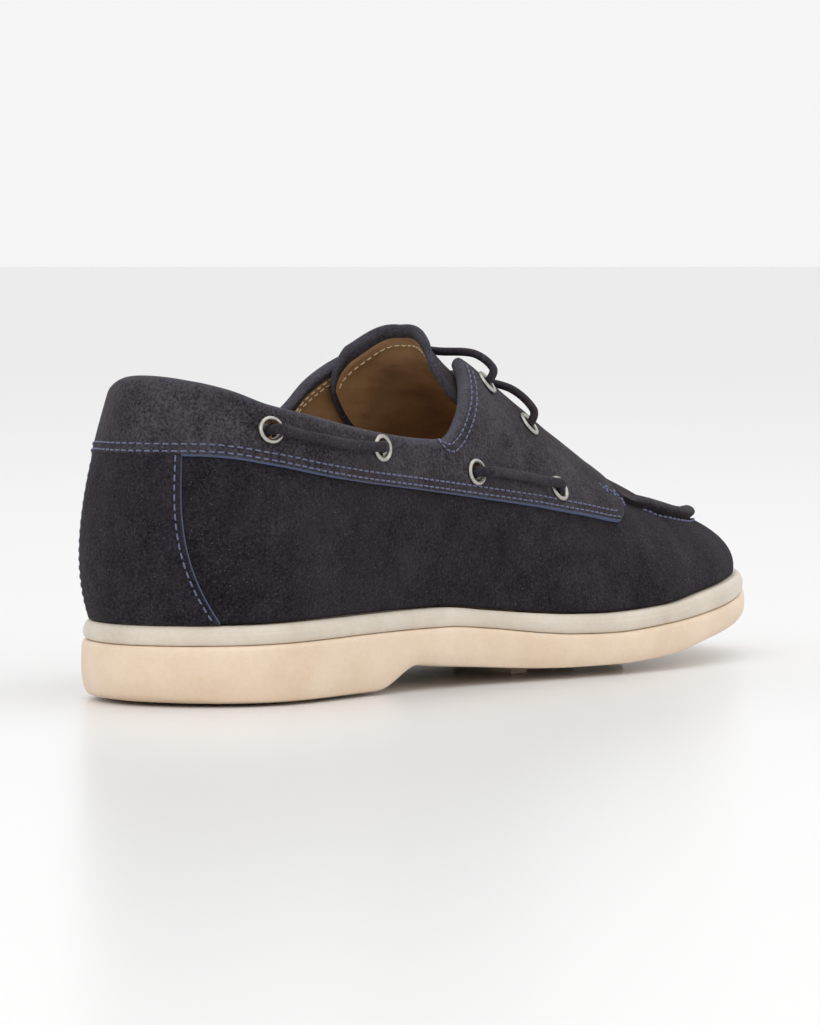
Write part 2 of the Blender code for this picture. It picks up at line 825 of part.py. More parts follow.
def band_front_limit(place, side):
    """Shares between which a rib lies behind the front edge of the side panel."""
    v = np.linspace(0.0, 1.0, FINE)
    points = skin(np.full(FINE, round_place(place, side)), v)
    front = curve_height(BAND_FRONT, 1, points[:, 2] / INSTEP_HEIGHT) * SOLE_LENGTH
    behind = points[:, 0] <= front
    if not behind.any():
        return (1.0, 0.0)
    return (v[behind.argmax()], v[FINE - 1 - behind[::-1].argmax()])


COUNTER_COLUMNS = 13
COUNTER_ROWS = 7


def make_heel_counter(finish):
    """Strip down the back of the heel, wider at the sole, under the collar band."""
    columns = []
    for i in range(COUNTER_COLUMNS):
        part = 2.0 * i / (COUNTER_COLUMNS - 1) - 1.0
        side = -1.0 if part < 0 else 1.0
        rise = np.linspace(0.0, 1.0, COUNTER_ROWS)
        flare = (1.0 - rise) ** 3
        half = COUNTER_HALF_WIDTH_TOP + flare * (
            COUNTER_HALF_WIDTH_BOTTOM - COUNTER_HALF_WIDTH_TOP
        )
        half = half + (COUNTER_INNER_EXTRA if side > 0 else 0.0)
        t = abs(part) * half * heel_stations_a_metre()
        top = seam_share(t, side)
        v = 0.01 + (top - 0.012) * rise
        u = round_place(t, side)
        columns.append((skin_at(u, v, GAP + OVERLAY_WALL), skin_at(u, v, GAP)))
    return sheet_solid("heel_counter", columns, finish)


def heel_stations_a_metre():
    """Stations for each metre round the heel's back."""
    t = np.linspace(0.0, 1.0, 21)
    plan = sole_edge(t, FEATHER_INSET)
    return 1.0 / np.linalg.norm(np.diff(plan, axis=0), axis=1).sum()


# Apron

def apron_profile():
    """Rows of the apron's upper face from its edge inwards: distance in, height over the skin."""
    return (
        (0.0, APRON_GAP),
        (-0.35 * MM, 0.45 * LIP_HEIGHT),
        (0.0, 0.8 * LIP_HEIGHT),
        (0.35 * LIP_WIDTH, LIP_HEIGHT),
        (0.75 * LIP_WIDTH, 0.85 * LIP_HEIGHT),
        (LIP_WIDTH, APRON_GAP + 1.3 * APRON_WALL),
        (1.8 * LIP_WIDTH, APRON_GAP + APRON_WALL),
    )


APRON_INNER_ROWS = 2


def make_apron(finish):
    """The plug over the toes, with the raised lip of its seam along its rounded edge."""
    start = station_over(APRON_START)
    t = np.append(np.linspace(start, ROWS - 0.3, 11), [ROWS - 0.12, float(ROWS)])
    profile = apron_profile()
    points = []
    faces = []
    for _, side in SIDES:
        edge = apron_share(t, side)
        u = round_place(t, side)
        speed = np.linalg.norm(skin(u, edge + 0.01) - skin(u, edge), axis=-1) / 0.01
        reach = (1.0 - edge) * speed
        fit = np.minimum(1.0, 0.85 * reach / (1.8 * LIP_WIDTH))
        rows = []
        for distance, height in profile:
            v = np.minimum(edge + distance * fit / speed, 1.0)
            rows.append(skin_at(u, v, height))
        last = np.minimum(edge + profile[-1][0] * fit / speed, 1.0)
        for k in range(1, APRON_INNER_ROWS + 1):
            v = last + (1.0 - last) * k / APRON_INNER_ROWS
            rows.append(skin_at(u, v, profile[-1][1]))
        for k in range(APRON_INNER_ROWS + 1):
            v = 1.0 + (edge - 1.0) * k / (APRON_INNER_ROWS + 1)
            rows.append(skin_at(u, v, APRON_GAP))
        grid = np.stack(rows, axis=1)
        count = grid.shape[1]
        base = len(points)
        crest = len(profile) + APRON_INNER_ROWS - 1
        for i in range(len(t) - 1):
            for k in range(count):
                if k == crest:
                    continue
                a = base + i * count + k
                b = base + (i + 1) * count + k
                c = base + (i + 1) * count + (k + 1) % count
                d = base + i * count + (k + 1) % count
                faces.append((a, b, c, d))
        faces.append(tuple(base + k for k in range(count)))
        points.extend(grid.reshape(-1, 3))
    return add_object("apron", points, faces, finish)


# Tongue

TONGUE_COLUMNS = 9
# Rows of each half, as shares of the way from its side edge to the crest
TONGUE_ROWS = (0.0, 0.12, 0.28, 0.48, 0.74, 1.0)


def smooth_step(share):
    share = np.clip(share, 0.0, 1.0)
    return share * share * (3.0 - 2.0 * share)


def make_tongue(finish):
    """Curved sheet under the throat, arched up at its free end, sunk between the wings."""
    depth = UPPER_WALL + TONGUE_GAP
    rise = np.array(TONGUE_ROWS)
    middle = smooth_step((rise - 0.2) / 0.8)
    columns = []
    for part in np.linspace(0.0, 1.0, TONGUE_COLUMNS) ** 1.6:
        sink = curve_height(TONGUE_SINK, 1, part) * middle
        flare = TONGUE_FLARE * max(1.0 - part / TONGUE_FLARE_SHARE, 0.0) ** 1.3
        flare = flare * smooth_step(rise / 0.3)
        begin = TONGUE_START - TONGUE_CORNER * (1.0 - rise) ** 1.2
        outer = []
        inner = []
        for _, side in SIDES:
            along = begin + (TONGUE_END - begin) * part
            own = station_at(along, side)
            shared = (station_at(along, -1.0) + station_at(along, 1.0)) / 2.0
            t = own + (shared - own) * smooth_step((rise - 0.35) / 0.65)
            low = tongue_share(t, side)
            v = low + (1.0 - low) * rise
            u = round_place(t, side)
            normal = skin_normal(u, v)
            steep = (1.0 - middle) * normal[:, 2] * min(part / TONGUE_RIM_SHARE, 1.0)
            lift = np.array([0.0, 0.0, 1.0]) - normal * steep[:, None]
            lift = lift * flare[:, None]
            lift[:, 2] -= sink
            top = skin_at(u, v, -depth) + lift
            under = skin_at(u, v, -depth - TONGUE_WALL) + lift
            if side > 0:
                top = top[::-1][1:]
                under = under[::-1][1:]
            outer.append(top)
            inner.append(under)
        columns.append((np.concatenate(outer), np.concatenate(inner)))
    return sheet_solid("tongue", columns, finish)


# Eyelets and laces

def eyelet_places():
    """Place and outward direction of each eyelet on the band's outer face, found on the skin."""
    places = {}
    t = np.linspace(0.2, 7.0, 341)
    v = np.linspace(0.0, 1.0, 201)
    for label, side in SIDES:
        u = round_place(t, side)
        points = skin(u[:, None], v[None, :])
        for name, outer_along, inner_along, height in EYELETS:
            along = outer_along if side < 0 else inner_along
            far = (points[..., 0] - along * SOLE_LENGTH) ** 2
            far += (points[..., 2] - height * INSTEP_HEIGHT) ** 2
            i, k = np.unravel_index(far.argmin(), far.shape)
            normal = skin_normal(u[i], v[k])
            place = skin(u[i], v[k]) + normal * (band_gap(t[i]) + OVERLAY_WALL)
            places[f"{label}_{name}"] = (Vector(place), Vector(normal), u[i], v[k])
    return places


EYELET_SIDES = 10
LAYERS = UPPER_WALL + GAP + OVERLAY_WALL


def turned(name, profile, sides, finish, place, axis):
    """A ring turned about an axis from a closed profile of radius and height."""
    angles = 2.0 * math.pi * np.arange(sides) / sides
    radius = np.array([p[0] for p in profile])
    height = np.array([p[1] for p in profile])
    points = np.stack(
        [
            np.cos(angles)[:, None] * radius[None, :],
            np.sin(angles)[:, None] * radius[None, :],
            np.broadcast_to(height, (sides, len(profile))),
        ],
        axis=-1,
    ).reshape(-1, 3)
    count = len(profile)
    faces = []
    for i in range(sides):
        j = (i + 1) % sides
        for k in range(count):
            m = (k + 1) % count
            faces.append((i * count + k, j * count + k, j * count + m, i * count + m))
    made = add_object(name, points, faces, finish)
    made.matrix_world = Matrix.Translation(place) @ axis.to_track_quat("Z", "Y").to_matrix().to_4x4()
    return made


def make_eyelet(name, place, axis, finish):
    barrel = EYELET_BORE + EYELET_WALL
    profile = (
        (EYELET_BORE, -LAYERS),
        (barrel, -LAYERS),
        (barrel, GAP),
        (EYELET_RADIUS, GAP),
        (0.85 * EYELET_RADIUS, GAP + EYELET_LIP),
        (EYELET_BORE, GAP + 0.6 * EYELET_LIP),
    )
    return turned(name, profile, EYELET_SIDES, finish, place, axis)


def cut_eyelet_hole(body, name, place, axis):
    """A hole through the wall, wider than the eyelet's barrel by a gap all round."""
    radius = EYELET_BORE + EYELET_WALL + GAP
    reach = 3.0 * LAYERS
    angles = 2.0 * math.pi * (np.arange(EYELET_SIDES) + 0.5) / EYELET_SIDES
    points = [(radius * math.cos(a), radius * math.sin(a), z) for z in (-reach, reach) for a in angles]
    n = EYELET_SIDES
    faces = [(i, (i + 1) % n, n + (i + 1) % n, n + i) for i in range(n)]
    faces += [tuple(reversed(range(n))), tuple(range(n, 2 * n))]
    cutter = bpy.data.objects.get(f"hole_{name}")
    if cutter is None:
        cutter = add_object(f"hole_{name}", points, faces, body.data.materials[0])
        turn = axis.to_track_quat("Z", "Y").to_matrix().to_4x4()
        cutter.matrix_world = Matrix.Translation(place) @ turn
        cutter.hide_render = True
        cutter.display_type = "WIRE"
    cut = body.modifiers.new(f"hole {name}", "BOOLEAN")
    cut.operation = "DIFFERENCE"
    cut.object = cutter


def smooth_path(knots, steps):
    """Points along a smooth curve through the knots, ends kept."""
    knots = [Vector(k) for k in knots]
    first = 2 * knots[0] - knots[1]
    last = 2 * knots[-1] - knots[-2]
    row = [first] + knots + [last]
    path = []
    for i in range(1, len(row) - 2):
        a, b, c, d = row[i - 1], row[i], row[i + 1], row[i + 2]
        for s in range(steps):
            t = s / steps
            path.append(
                0.5
                * (
                    2 * b
                    + (c - a) * t
                    + (2 * a - 5 * b + 4 * c - d) * t * t
                    + (3 * b - a - 3 * c + d) * t**3
                )
            )
    path.append(knots[-1])
    return path


def make_lace(name, knots, finish):
    path = smooth_path(knots, 1)
    curve = bpy.data.curves.new(name, "CURVE")
    curve.dimensions = "3D"
    curve.bevel_depth = LACE_RADIUS
    curve.bevel_resolution = 1
    curve.use_fill_caps = True
    spline = curve.splines.new("POLY")
    spline.points.add(len(path) - 1)
    for point, place in zip(spline.points, path):
        point.co = (*place, 1.0)
    curve.materials.append(finish)
    lace = bpy.data.objects.new(name, curve)
    bpy.context.scene.collection.objects.link(lace)
    return lace


# A lace's knots by an eyelet: depth inside it, height over it and run past it
LACE_INSIDE = 0.0016
LACE_MOUTH = 0.0009
LACE_MOUTH_RUN = 0.0003
LACE_OVER_LIP = 0.0007
LACE_LIP_RUN = 0.0020
LACE_LEVEL_RUN = 0.0054
LACE_LEVEL_RISE = 0.0003
LACE_LOW = 0.0004


def side_run_knots(start, end):
    """From inside one eyelet, over its lip, along the band and into the next eyelet."""
    (a, na, ua, va), (b, nb, ub, vb) = start, end
    run = (b - a).normalized()
    over = GAP + EYELET_LIP + GAP + LACE_RADIUS
    low = GAP + LACE_LOW + LACE_RADIUS
    knots = [a - na * LACE_INSIDE, a + na * LACE_MOUTH + run * LACE_MOUTH_RUN]
    knots.append(a + na * (over + LACE_OVER_LIP) + run * LACE_LIP_RUN)
    length = (b - a).length
    near = LACE_LEVEL_RUN / length
    shares = [near, 0.3, 0.5, 0.7, 1.0 - near]
    for share in shares:
        u = ua + (ub - ua) * share
        v = va + (vb - va) * share
        place = skin(u, v) + skin_normal(u, v) * (GAP + OVERLAY_WALL)
        rise = over + LACE_LEVEL_RISE if share in (shares[0], shares[-1]) else low
        knots.append(Vector(place) + Vector(skin_normal(u, v)) * rise)
    knots.append(b + nb * (over + LACE_OVER_LIP) - run * LACE_LIP_RUN)
    knots += [b + nb * LACE_MOUTH - run * LACE_MOUTH_RUN, b - nb * LACE_INSIDE]
    return knots


# Along each half of a lace bar: share of the way from the eyelet to the crest, rise over the band
BAR_RISES = (
    # share, rise
    (0.07, 0.0009),
    (0.30, 0.0002),
    (0.62, -0.0060),
)
BAR_SINK = 0.0078


def throat_bar_knots(outer, inner):
    """Over the throat from one side's eyelet to the other's, clear of the wings and the tongue."""
    over = GAP + OVERLAY_WALL + BAND_FRONT_LIFT + GAP + EYELET_LIP + GAP + LACE_RADIUS
    halves = []
    for place, axis, u, v in (outer, inner):
        knots = [place - axis * LACE_INSIDE, place + axis * LACE_MOUTH]
        for share, rise in BAR_RISES:
            knots.append(Vector(skin_at(u, v + (1.0 - v) * share, over + rise)))
        halves.append(knots)
    tops = [Vector(skin_at(u, 1.0, over - BAR_SINK)) for _, _, u, _ in (outer, inner)]
    middle = (tops[0] + tops[1]) / 2.0
    return halves[0] + [middle] + halves[1][::-1]


def main():
    for old in list(bpy.data.objects):
        bpy.data.objects.remove(old, do_unlink=True)

    suede = material("navy suede", (0.018, 0.021, 0.045), 0.95)
    band_suede = material("navy suede band", (0.020, 0.022, 0.040), 0.95)
    counter_suede = material("navy suede counter", (0.015, 0.017, 0.034), 0.95)
    apron_suede = material("navy suede apron", (0.022, 0.021, 0.030), 0.95)
    tongue_suede = material("navy suede tongue", (0.020, 0.020, 0.030), 0.95)
    cream = material("cream rubber", (0.78, 0.62, 0.46), 0.55)
    rand = material("pale rand rubber", (0.66, 0.62, 0.52), 0.5)
    lining = material("tan leather", (0.45, 0.24, 0.10), 0.6)
    nickel = material("nickel", (0.62, 0.60, 0.56), 0.3, 1.0)
    cord = material("waxed navy cord", (0.030, 0.028, 0.036), 0.7)

    make_outsole(cream)
    make_midsole(rand)
    make_insole(lining)
    upper = make_upper(suede)
    band = make_collar_band(band_suede)
    make_heel_counter(counter_suede)
    make_apron(apron_suede)
    make_tongue(tongue_suede)

    places = eyelet_places()
    for name, (place, axis, _, _) in places.items():
        make_eyelet(f"eyelet_{name}", place, axis, nickel)
        cut_eyelet_hole(upper, name, place, axis)
        cut_eyelet_hole(band, name, place, axis)
    for label, _ in SIDES:
        for run, start, end in (
            ("rear", "heel_rear", "heel_front"),
            ("front", "side_rear", "side_front"),
        ):
            knots = side_run_knots(places[f"{label}_{start}"], places[f"{label}_{end}"])
            make_lace(f"lace_{label}_{run}", knots, cord)
    for name in ("throat_top", "throat_low"):
        knots = throat_bar_knots(places[f"outer_{name}"], places[f"inner_{name}"])
        make_lace(f"lace_bar_{name}", knots, cord)

    stand = bpy.data.objects.new("frame", None)
    stand.location.x = -HEEL_SEAT
    bpy.context.scene.collection.objects.link(stand)
    for piece in list(bpy.data.objects):
        if piece is not stand:
            piece.parent = stand


main()
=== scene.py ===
"""Boat shoe for the right foot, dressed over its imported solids: suede, leather, rubber and thread."""

import math

import bpy
import bmesh
import numpy as np
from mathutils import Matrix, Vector


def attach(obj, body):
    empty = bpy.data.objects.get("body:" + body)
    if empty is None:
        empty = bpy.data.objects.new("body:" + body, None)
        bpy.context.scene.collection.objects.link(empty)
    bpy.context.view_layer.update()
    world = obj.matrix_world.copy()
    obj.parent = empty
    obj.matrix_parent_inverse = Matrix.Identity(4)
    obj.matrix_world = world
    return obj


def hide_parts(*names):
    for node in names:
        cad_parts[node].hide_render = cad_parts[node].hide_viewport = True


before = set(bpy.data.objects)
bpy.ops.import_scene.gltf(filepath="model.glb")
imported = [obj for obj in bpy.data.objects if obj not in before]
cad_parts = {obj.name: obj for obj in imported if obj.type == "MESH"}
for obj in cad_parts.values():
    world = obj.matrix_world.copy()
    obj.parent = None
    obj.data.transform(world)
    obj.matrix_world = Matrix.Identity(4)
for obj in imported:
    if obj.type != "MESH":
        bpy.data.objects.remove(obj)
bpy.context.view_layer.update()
MM = 0.001

# Camera. It stands level with the shoe, behind its outer side, where the photograph was taken
# from, and looks at the middle of the one shoe through a long lens.

CAMERA_PLACE = Vector((-1.18345, -0.94183, 0.12327))
CAMERA_LENS = 188.0
PHOTO_FOCUS = 4103.66
PHOTO_AHEAD = Vector((0.7859, 0.6184, 0.00365))
PHOTO_RIGHT = Vector((0.6184, -0.7859, 0.0))
AIM_RIGHT = 127.0
AIM_DOWN = 207.5


def make_camera():
    """Aims at the shoe: the photograph's own axis turned by the shoe's place in its frame."""
    seen = bpy.data.cameras.new("camera")
    seen.lens = CAMERA_LENS
    camera = bpy.data.objects.new("camera", seen)
    bpy.context.scene.collection.objects.link(camera)
    ahead = PHOTO_AHEAD.normalized()
    ahead = ahead + PHOTO_RIGHT * (AIM_RIGHT / PHOTO_FOCUS)
    ahead = ahead + Vector((0.0, 0.0, -AIM_DOWN / PHOTO_FOCUS))
    camera.location = CAMERA_PLACE
    camera.rotation_euler = ahead.to_track_quat("-Z", "Y").to_euler()
    bpy.context.scene.camera = camera
    bpy.context.scene.view_settings.view_transform = "Standard"


make_camera()

# Floor and lights. A wide sheet of white studio paper lies under the shoe, lit by a wide soft box
# overhead, smaller ones from both sides and the pale room, which is as light as the paper.

PAPER_HALF_WIDTH = 60.0
PAPER_NEAR = -6.0
PAPER_FAR = 120.0


def linear(colour):
    """A colour written as sRGB hex, turned into linear values."""
    parts = [int(colour[i : i + 2], 16) / 255.0 for i in (1, 3, 5)]
    turned = [c / 12.92 if c <= 0.04045 else ((c + 0.055) / 1.055) ** 2.4 for c in parts]
    return (*turned, 1.0)


def add_node(tree, kind, values=None, links=None, **settings):
    """Adds one shader node, sets its properties and sockets and joins its inputs."""
    made = tree.nodes.new(kind)
    for name, value in settings.items():
        setattr(made, name, value)
    for name, value in (values or {}).items():
        made.inputs[name].default_value = value
    for name, source in (links or {}).items():
        tree.links.new(source, made.inputs[name])
    return made


def new_finish(name, values):
    """A material with one Principled shader, given back with its tree and shader."""
    finish = bpy.data.materials.new(name)
    finish.use_nodes = True
    tree = finish.node_tree
    shader = tree.nodes["Principled BSDF"]
    for socket, value in values.items():
        shader.inputs[socket].default_value = value
    return finish, tree, shader


def grid_mesh(name, grid, finishes, closed=False, flip=False, slots=None, attributes=None):
    """A piece from a grid of points, columns by rows, with smooth shading."""
    columns, rows = grid.shape[:2]
    index = np.arange(columns * rows).reshape(columns, rows)
    ahead = np.roll(index, -1, axis=0) if closed else index[1:]
    behind = index if closed else index[:-1]
    quads = [behind[:, :-1], ahead[:, :-1], ahead[:, 1:], behind[:, 1:]]
    if flip:
        quads = quads[::-1]
    faces = np.stack(quads, axis=-1).reshape(-1, 4)
    per_face = None
    if slots is not None:
        wide = slots[:-1] if not closed else slots
        per_face = wide[:, :-1].reshape(-1)
    return faces_mesh(name, grid.reshape(-1, 3), faces, finishes, per_face, attributes)


def faces_mesh(name, points, faces, finishes, slots=None, attributes=None):
    """A piece from points and four-sided faces, with one value for each point in each attribute."""
    mesh = bpy.data.meshes.new(name)
    mesh.vertices.add(len(points))
    mesh.vertices.foreach_set("co", np.asarray(points, np.float32).ravel())
    mesh.loops.add(faces.size)
    mesh.loops.foreach_set("vertex_index", faces.astype(np.int32).ravel())
    mesh.polygons.add(len(faces))
    mesh.polygons.foreach_set("loop_start", (4 * np.arange(len(faces))).astype(np.int32))
    mesh.polygons.foreach_set("use_smooth", np.ones(len(faces), bool))
    for finish in finishes:
        mesh.materials.append(finish)
    if slots is not None:
        mesh.polygons.foreach_set("material_index", slots.astype(np.int32))
    for label, values in (attributes or {}).items():
        layer = mesh.attributes.new(label, "FLOAT", "POINT")
        layer.data.foreach_set("value", np.asarray(values, np.float32).ravel())
    mesh.update(calc_edges=True)
    mesh.validate()
    piece = bpy.data.objects.new(name, mesh)
    bpy.context.scene.collection.objects.link(piece)
    return piece


def weld(piece, distance=0.01 * MM):
    """Joins points that lie on each other and turns all faces the same way, outwards."""
    work = bmesh.new()
    work.from_mesh(piece.data)
    bmesh.ops.remove_doubles(work, verts=work.verts, dist=distance)
    bmesh.ops.recalc_face_normals(work, faces=work.faces)
    work.to_mesh(piece.data)
    work.free()


def make_floor():
    """One flat sheet that runs from behind the viewer to far beyond the shoe."""
    ahead = np.array([PHOTO_AHEAD.x, PHOTO_AHEAD.y])
    beside = np.array([PHOTO_RIGHT.x, PHOTO_RIGHT.y])
    reach = np.array([PAPER_NEAR, 2.0, 10.0, PAPER_FAR])
    across = np.linspace(-PAPER_HALF_WIDTH, PAPER_HALF_WIDTH, 3)
    plan = reach[:, None, None] * ahead + across[None, :, None] * beside
    up = np.zeros(plan.shape[:2] + (1,))
    # Studio paper, IOR 1.45, roughness 0.35 with a faint mirror image under the shoe
    finish, tree, shader = new_finish("studio paper", {"Roughness": 0.28, "IOR": 1.45})
    shader.inputs["Base Color"].default_value = linear("#EEEEEE")
    shader.inputs["Specular IOR Level"].default_value = 0.22
    floor = grid_mesh("floor", np.concatenate([plan, up], axis=-1), [finish], flip=True)


def make_light(name, place, size, power, colour):
    """One soft box that looks at the shoe."""
    lamp = bpy.data.lights.new(name, "AREA")
    lamp.shape = "RECTANGLE"
    lamp.size, lamp.size_y = size
    lamp.energy = power
    lamp.color = linear(colour)[:3]
    light = bpy.data.objects.new(name, lamp)
    light.location = place
    light.rotation_euler = (Vector((0.09, 0.0, 0.05)) - Vector(place)).to_track_quat("-Z", "Y").to_euler()
    bpy.context.scene.collection.objects.link(light)


def make_lights():
    """Three soft boxes and an evenly bright room."""
    make_light("soft_box_over", (0.1, -0.5, 2.2), (2.6, 2.2), 13.0, "#FFFFFF")
    make_light("soft_box_left", (-1.9, -0.6, 1.1), (1.6, 1.6), 7.0, "#FFFBF6")
    make_light("soft_box_right", (0.9, -2.0, 1.0), (1.4, 1.2), 2.0, "#FBFBFF")
    world = bpy.data.worlds.new("room")
    world.use_nodes = True
    room = world.node_tree.nodes["Background"]
    room.inputs["Color"].default_value = linear("#F7F7F7")
    room.inputs["Strength"].default_value = 0.98
    bpy.context.scene.world = world


make_floor()
make_lights()

# Outsole. One moulded slab of cream crepe-coloured rubber, thick under the heel, with an arch, a
# raised toe and bars across the tread. Its side bulges between a rounded foot and a groove.

SOLE_LENGTH = 0.296
BALL_WIDTH = 0.102
HEEL_WIDTH = 0.073
WAIST_WIDTH = 0.069
TOE_WIDTH = 0.072
HEEL_STACK = 0.0235
HEEL_SEAT = 0.040
SIDE_BULGE = 0.0012
GAP = 0.0003
TREAD_INSET = 0.020
WIDTHS = {"heel": HEEL_WIDTH, "waist": WAIST_WIDTH, "ball": BALL_WIDTH, "toe": TOE_WIDTH}
OUTLINE_OUTER = (
    # along, out, width
    (0.000, 0.00, "heel"),
    (0.035, 0.68, "heel"),
    (0.112, 1.00, "heel"),
    (0.235, 1.03, "waist"),
    (0.369, 1.08, "waist"),
    (0.497, 0.85, "ball"),
    (0.617, 0.95, "ball"),
    (0.728, 0.95, "ball"),
    (0.832, 0.82, "ball"),
    (0.919, 0.77, "toe"),
    (0.980, 0.26, "toe"),
    (1.000, -0.25, "toe"),
)

OUTLINE_INNER = (
    # along, out, width
    (0.000, 0.00, "heel"),
    (0.035, 0.66, "heel"),
    (0.112, 0.97, "heel"),
    (0.235, 0.98, "waist"),
    (0.356, 0.92, "waist"),
    (0.470, 0.71, "ball"),
    (0.587, 0.90, "ball"),
    (0.701, 1.04, "ball"),
    (0.815, 1.00, "ball"),
    (0.912, 1.14, "toe"),
    (0.976, 0.74, "toe"),
    (1.000, 0.25, "toe"),
)

SOLE_HEIGHTS = (
    # along, bottom edge, side tread, middle tread, groove, rand top
    (0.000, 0.150, 0.060, 0.000, 0.722, 0.958),
    (0.050, 0.085, 0.040, 0.000, 0.728, 0.961),
    (0.134, 0.075, 0.035, 0.000, 0.744, 0.978),
    (0.248, 0.095, 0.035, 0.000, 0.758, 0.992),
    (0.309, 0.344, 0.310, 0.310, 0.762, 1.000),
    (0.350, 0.298, 0.270, 0.270, 0.760, 0.998),
    (0.409, 0.238, 0.220, 0.215, 0.706, 0.933),
    (0.480, 0.174, 0.160, 0.150, 0.608, 0.851),
    (0.527, 0.153, 0.140, 0.085, 0.562, 0.811),
    (0.587, 0.149, 0.136, 0.080, 0.545, 0.792),
    (0.675, 0.202, 0.185, 0.080, 0.604, 0.835),
    (0.765, 0.364, 0.330, 0.220, 0.703, 0.974),
    (0.856, 0.494, 0.450, 0.380, 0.823, 1.075),
    (0.940, 0.593, 0.550, 0.510, 0.937, 1.135),
    (1.000, 0.677, 0.640, 0.620, 0.990, 1.187),
)
ROWS = len(OUTLINE_OUTER) - 1
SOLE_PLACES = 2.0 * ROWS * np.arange(880) / 880.0
BOTTOM_EDGE, SIDE_TREAD, TREAD, GROOVE, RAND_TOP = 1, 2, 3, 4, 5


def curve_height(table, column, along):
    """Reads one column of a table by a smooth curve that never overshoots its rows."""
    xs = np.array([row[0] for row in table])
    ys = np.array([row[column] for row in table])
    steps = np.diff(xs)
    slopes = np.diff(ys) / steps
    ends = np.concatenate([slopes[:1], slopes, slopes[-1:]])
    before = ends[:-1]
    after = ends[1:]
    same_sign = before * after > 0
    safe = np.where(same_sign, before + after, 1.0)
    tangents = np.where(same_sign, 2.0 * before * after / safe, 0.0)
    along = np.clip(along, xs[0], xs[-1])
    i = np.clip(np.searchsorted(xs, along, side="right") - 1, 0, len(xs) - 2)
    h = steps[i]
    t = (along - xs[i]) / h
    return (
        ys[i] * (1 + 2 * t) * (1 - t) ** 2
        + tangents[i] * h * t * (1 - t) ** 2
        + ys[i + 1] * t * t * (3 - 2 * t)
        + tangents[i + 1] * h * t * t * (t - 1)
    )


def closed_spline(values, u):
    """A curve with smooth bends through rows that close on themselves, u counted in rows."""
    n = len(values)
    system = 4.0 * np.eye(n) + np.roll(np.eye(n), 1, axis=1) + np.roll(np.eye(n), -1, axis=1)
    ahead = np.roll(values, -1, axis=0)
    behind = np.roll(values, 1, axis=0)
    bends = np.linalg.solve(system, 6.0 * (ahead - 2.0 * values + behind))
    u = np.mod(u, n)
    i = np.floor(u).astype(int) % n
    j = (i + 1) % n
    t = (u - np.floor(u))[..., None]
    s = 1.0 - t
    return (
        values[i] * s
        + values[j] * t
        + (s**3 - s) * bends[i] / 6.0
        + (t**3 - t) * bends[j] / 6.0
    )


def around(outer, inner):
    """Joins rows of the outer side, heel to toe, and of the inner side, toe to heel."""
    return np.concatenate([outer, inner[-2:0:-1]])


def outline_rows():
    """The sole's outline: along * SOLE_LENGTH, and out * width / 2 on each side."""
    sides = []
    for sign, table in ((-1.0, OUTLINE_OUTER), (1.0, OUTLINE_INNER)):
        rows = [
            (along * SOLE_LENGTH, sign * out * WIDTHS[width] / 2.0)
            for along, out, width in table
        ]
        sides.append(np.array(rows))
    return around(sides[0], sides[1])


def round_place(t, side):
    """Place on the closed outline of a station t, 0 at the heel and ROWS at the toe."""
    return t if side < 0 else 2 * ROWS - t


OUTLINE = outline_rows()


def sole_edge(u, inset):
    """Plan of the sole's edge at u, moved inwards by inset along the edge's normal."""
    step = 0.01
    here = closed_spline(OUTLINE, u)
    run = closed_spline(OUTLINE, u + step) - closed_spline(OUTLINE, u - step)
    run /= np.linalg.norm(run, axis=-1, keepdims=True)
    inwards = np.stack([-run[..., 1], run[..., 0]], axis=-1)
    inset = np.broadcast_to(inset, np.shape(u))[..., None]
    return here + inwards * inset


def sole_height(x, column):
    """Height of a table column over the floor: its share at x / SOLE_LENGTH, times HEEL_STACK."""
    return curve_height(SOLE_HEIGHTS, column, x / SOLE_LENGTH) * HEEL_STACK


def ring(u, inset, height):
    """A ring of the sole: its edge moved inwards, at a height that is a function of x."""
    plan = sole_edge(u, inset)
    return np.concatenate([plan, height(plan[:, 0])[:, None]], axis=1)


def between(low, high, share):
    """A height function: low * (1 - share) + high * share."""
    def height(x):
        return sole_height(x, low) * (1.0 - share) + sole_height(x, high) * share

    return height


def at(column, offset=0.0):
    """A height function: the column, moved up by offset."""
    def height(x):
        return sole_height(x, column) + offset

    return height


def rounded(rings, steps):
    """Rings between given rings, on smooth curves through them, first and last kept."""
    rings = np.stack(rings)
    row = np.concatenate([2 * rings[:1] - rings[1:2], rings, 2 * rings[-1:] - rings[-2:-1]])
    found = []
    for i in range(1, len(row) - 2):
        a, b, c, d = row[i - 1], row[i], row[i + 1], row[i + 2]
        for s in range(steps):
            t = s / steps
            bend = (c - a) * t + (2 * a - 5 * b + 4 * c - d) * t * t + (3 * b - a - 3 * c + d) * t**3
            found.append(b + bend / 2.0)
    return np.stack(found + [rings[-1]], axis=1)


def in_frame(points):
    """Counts along the shoe from the heel's middle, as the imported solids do."""
    return points - np.array([HEEL_SEAT, 0.0, 0.0])


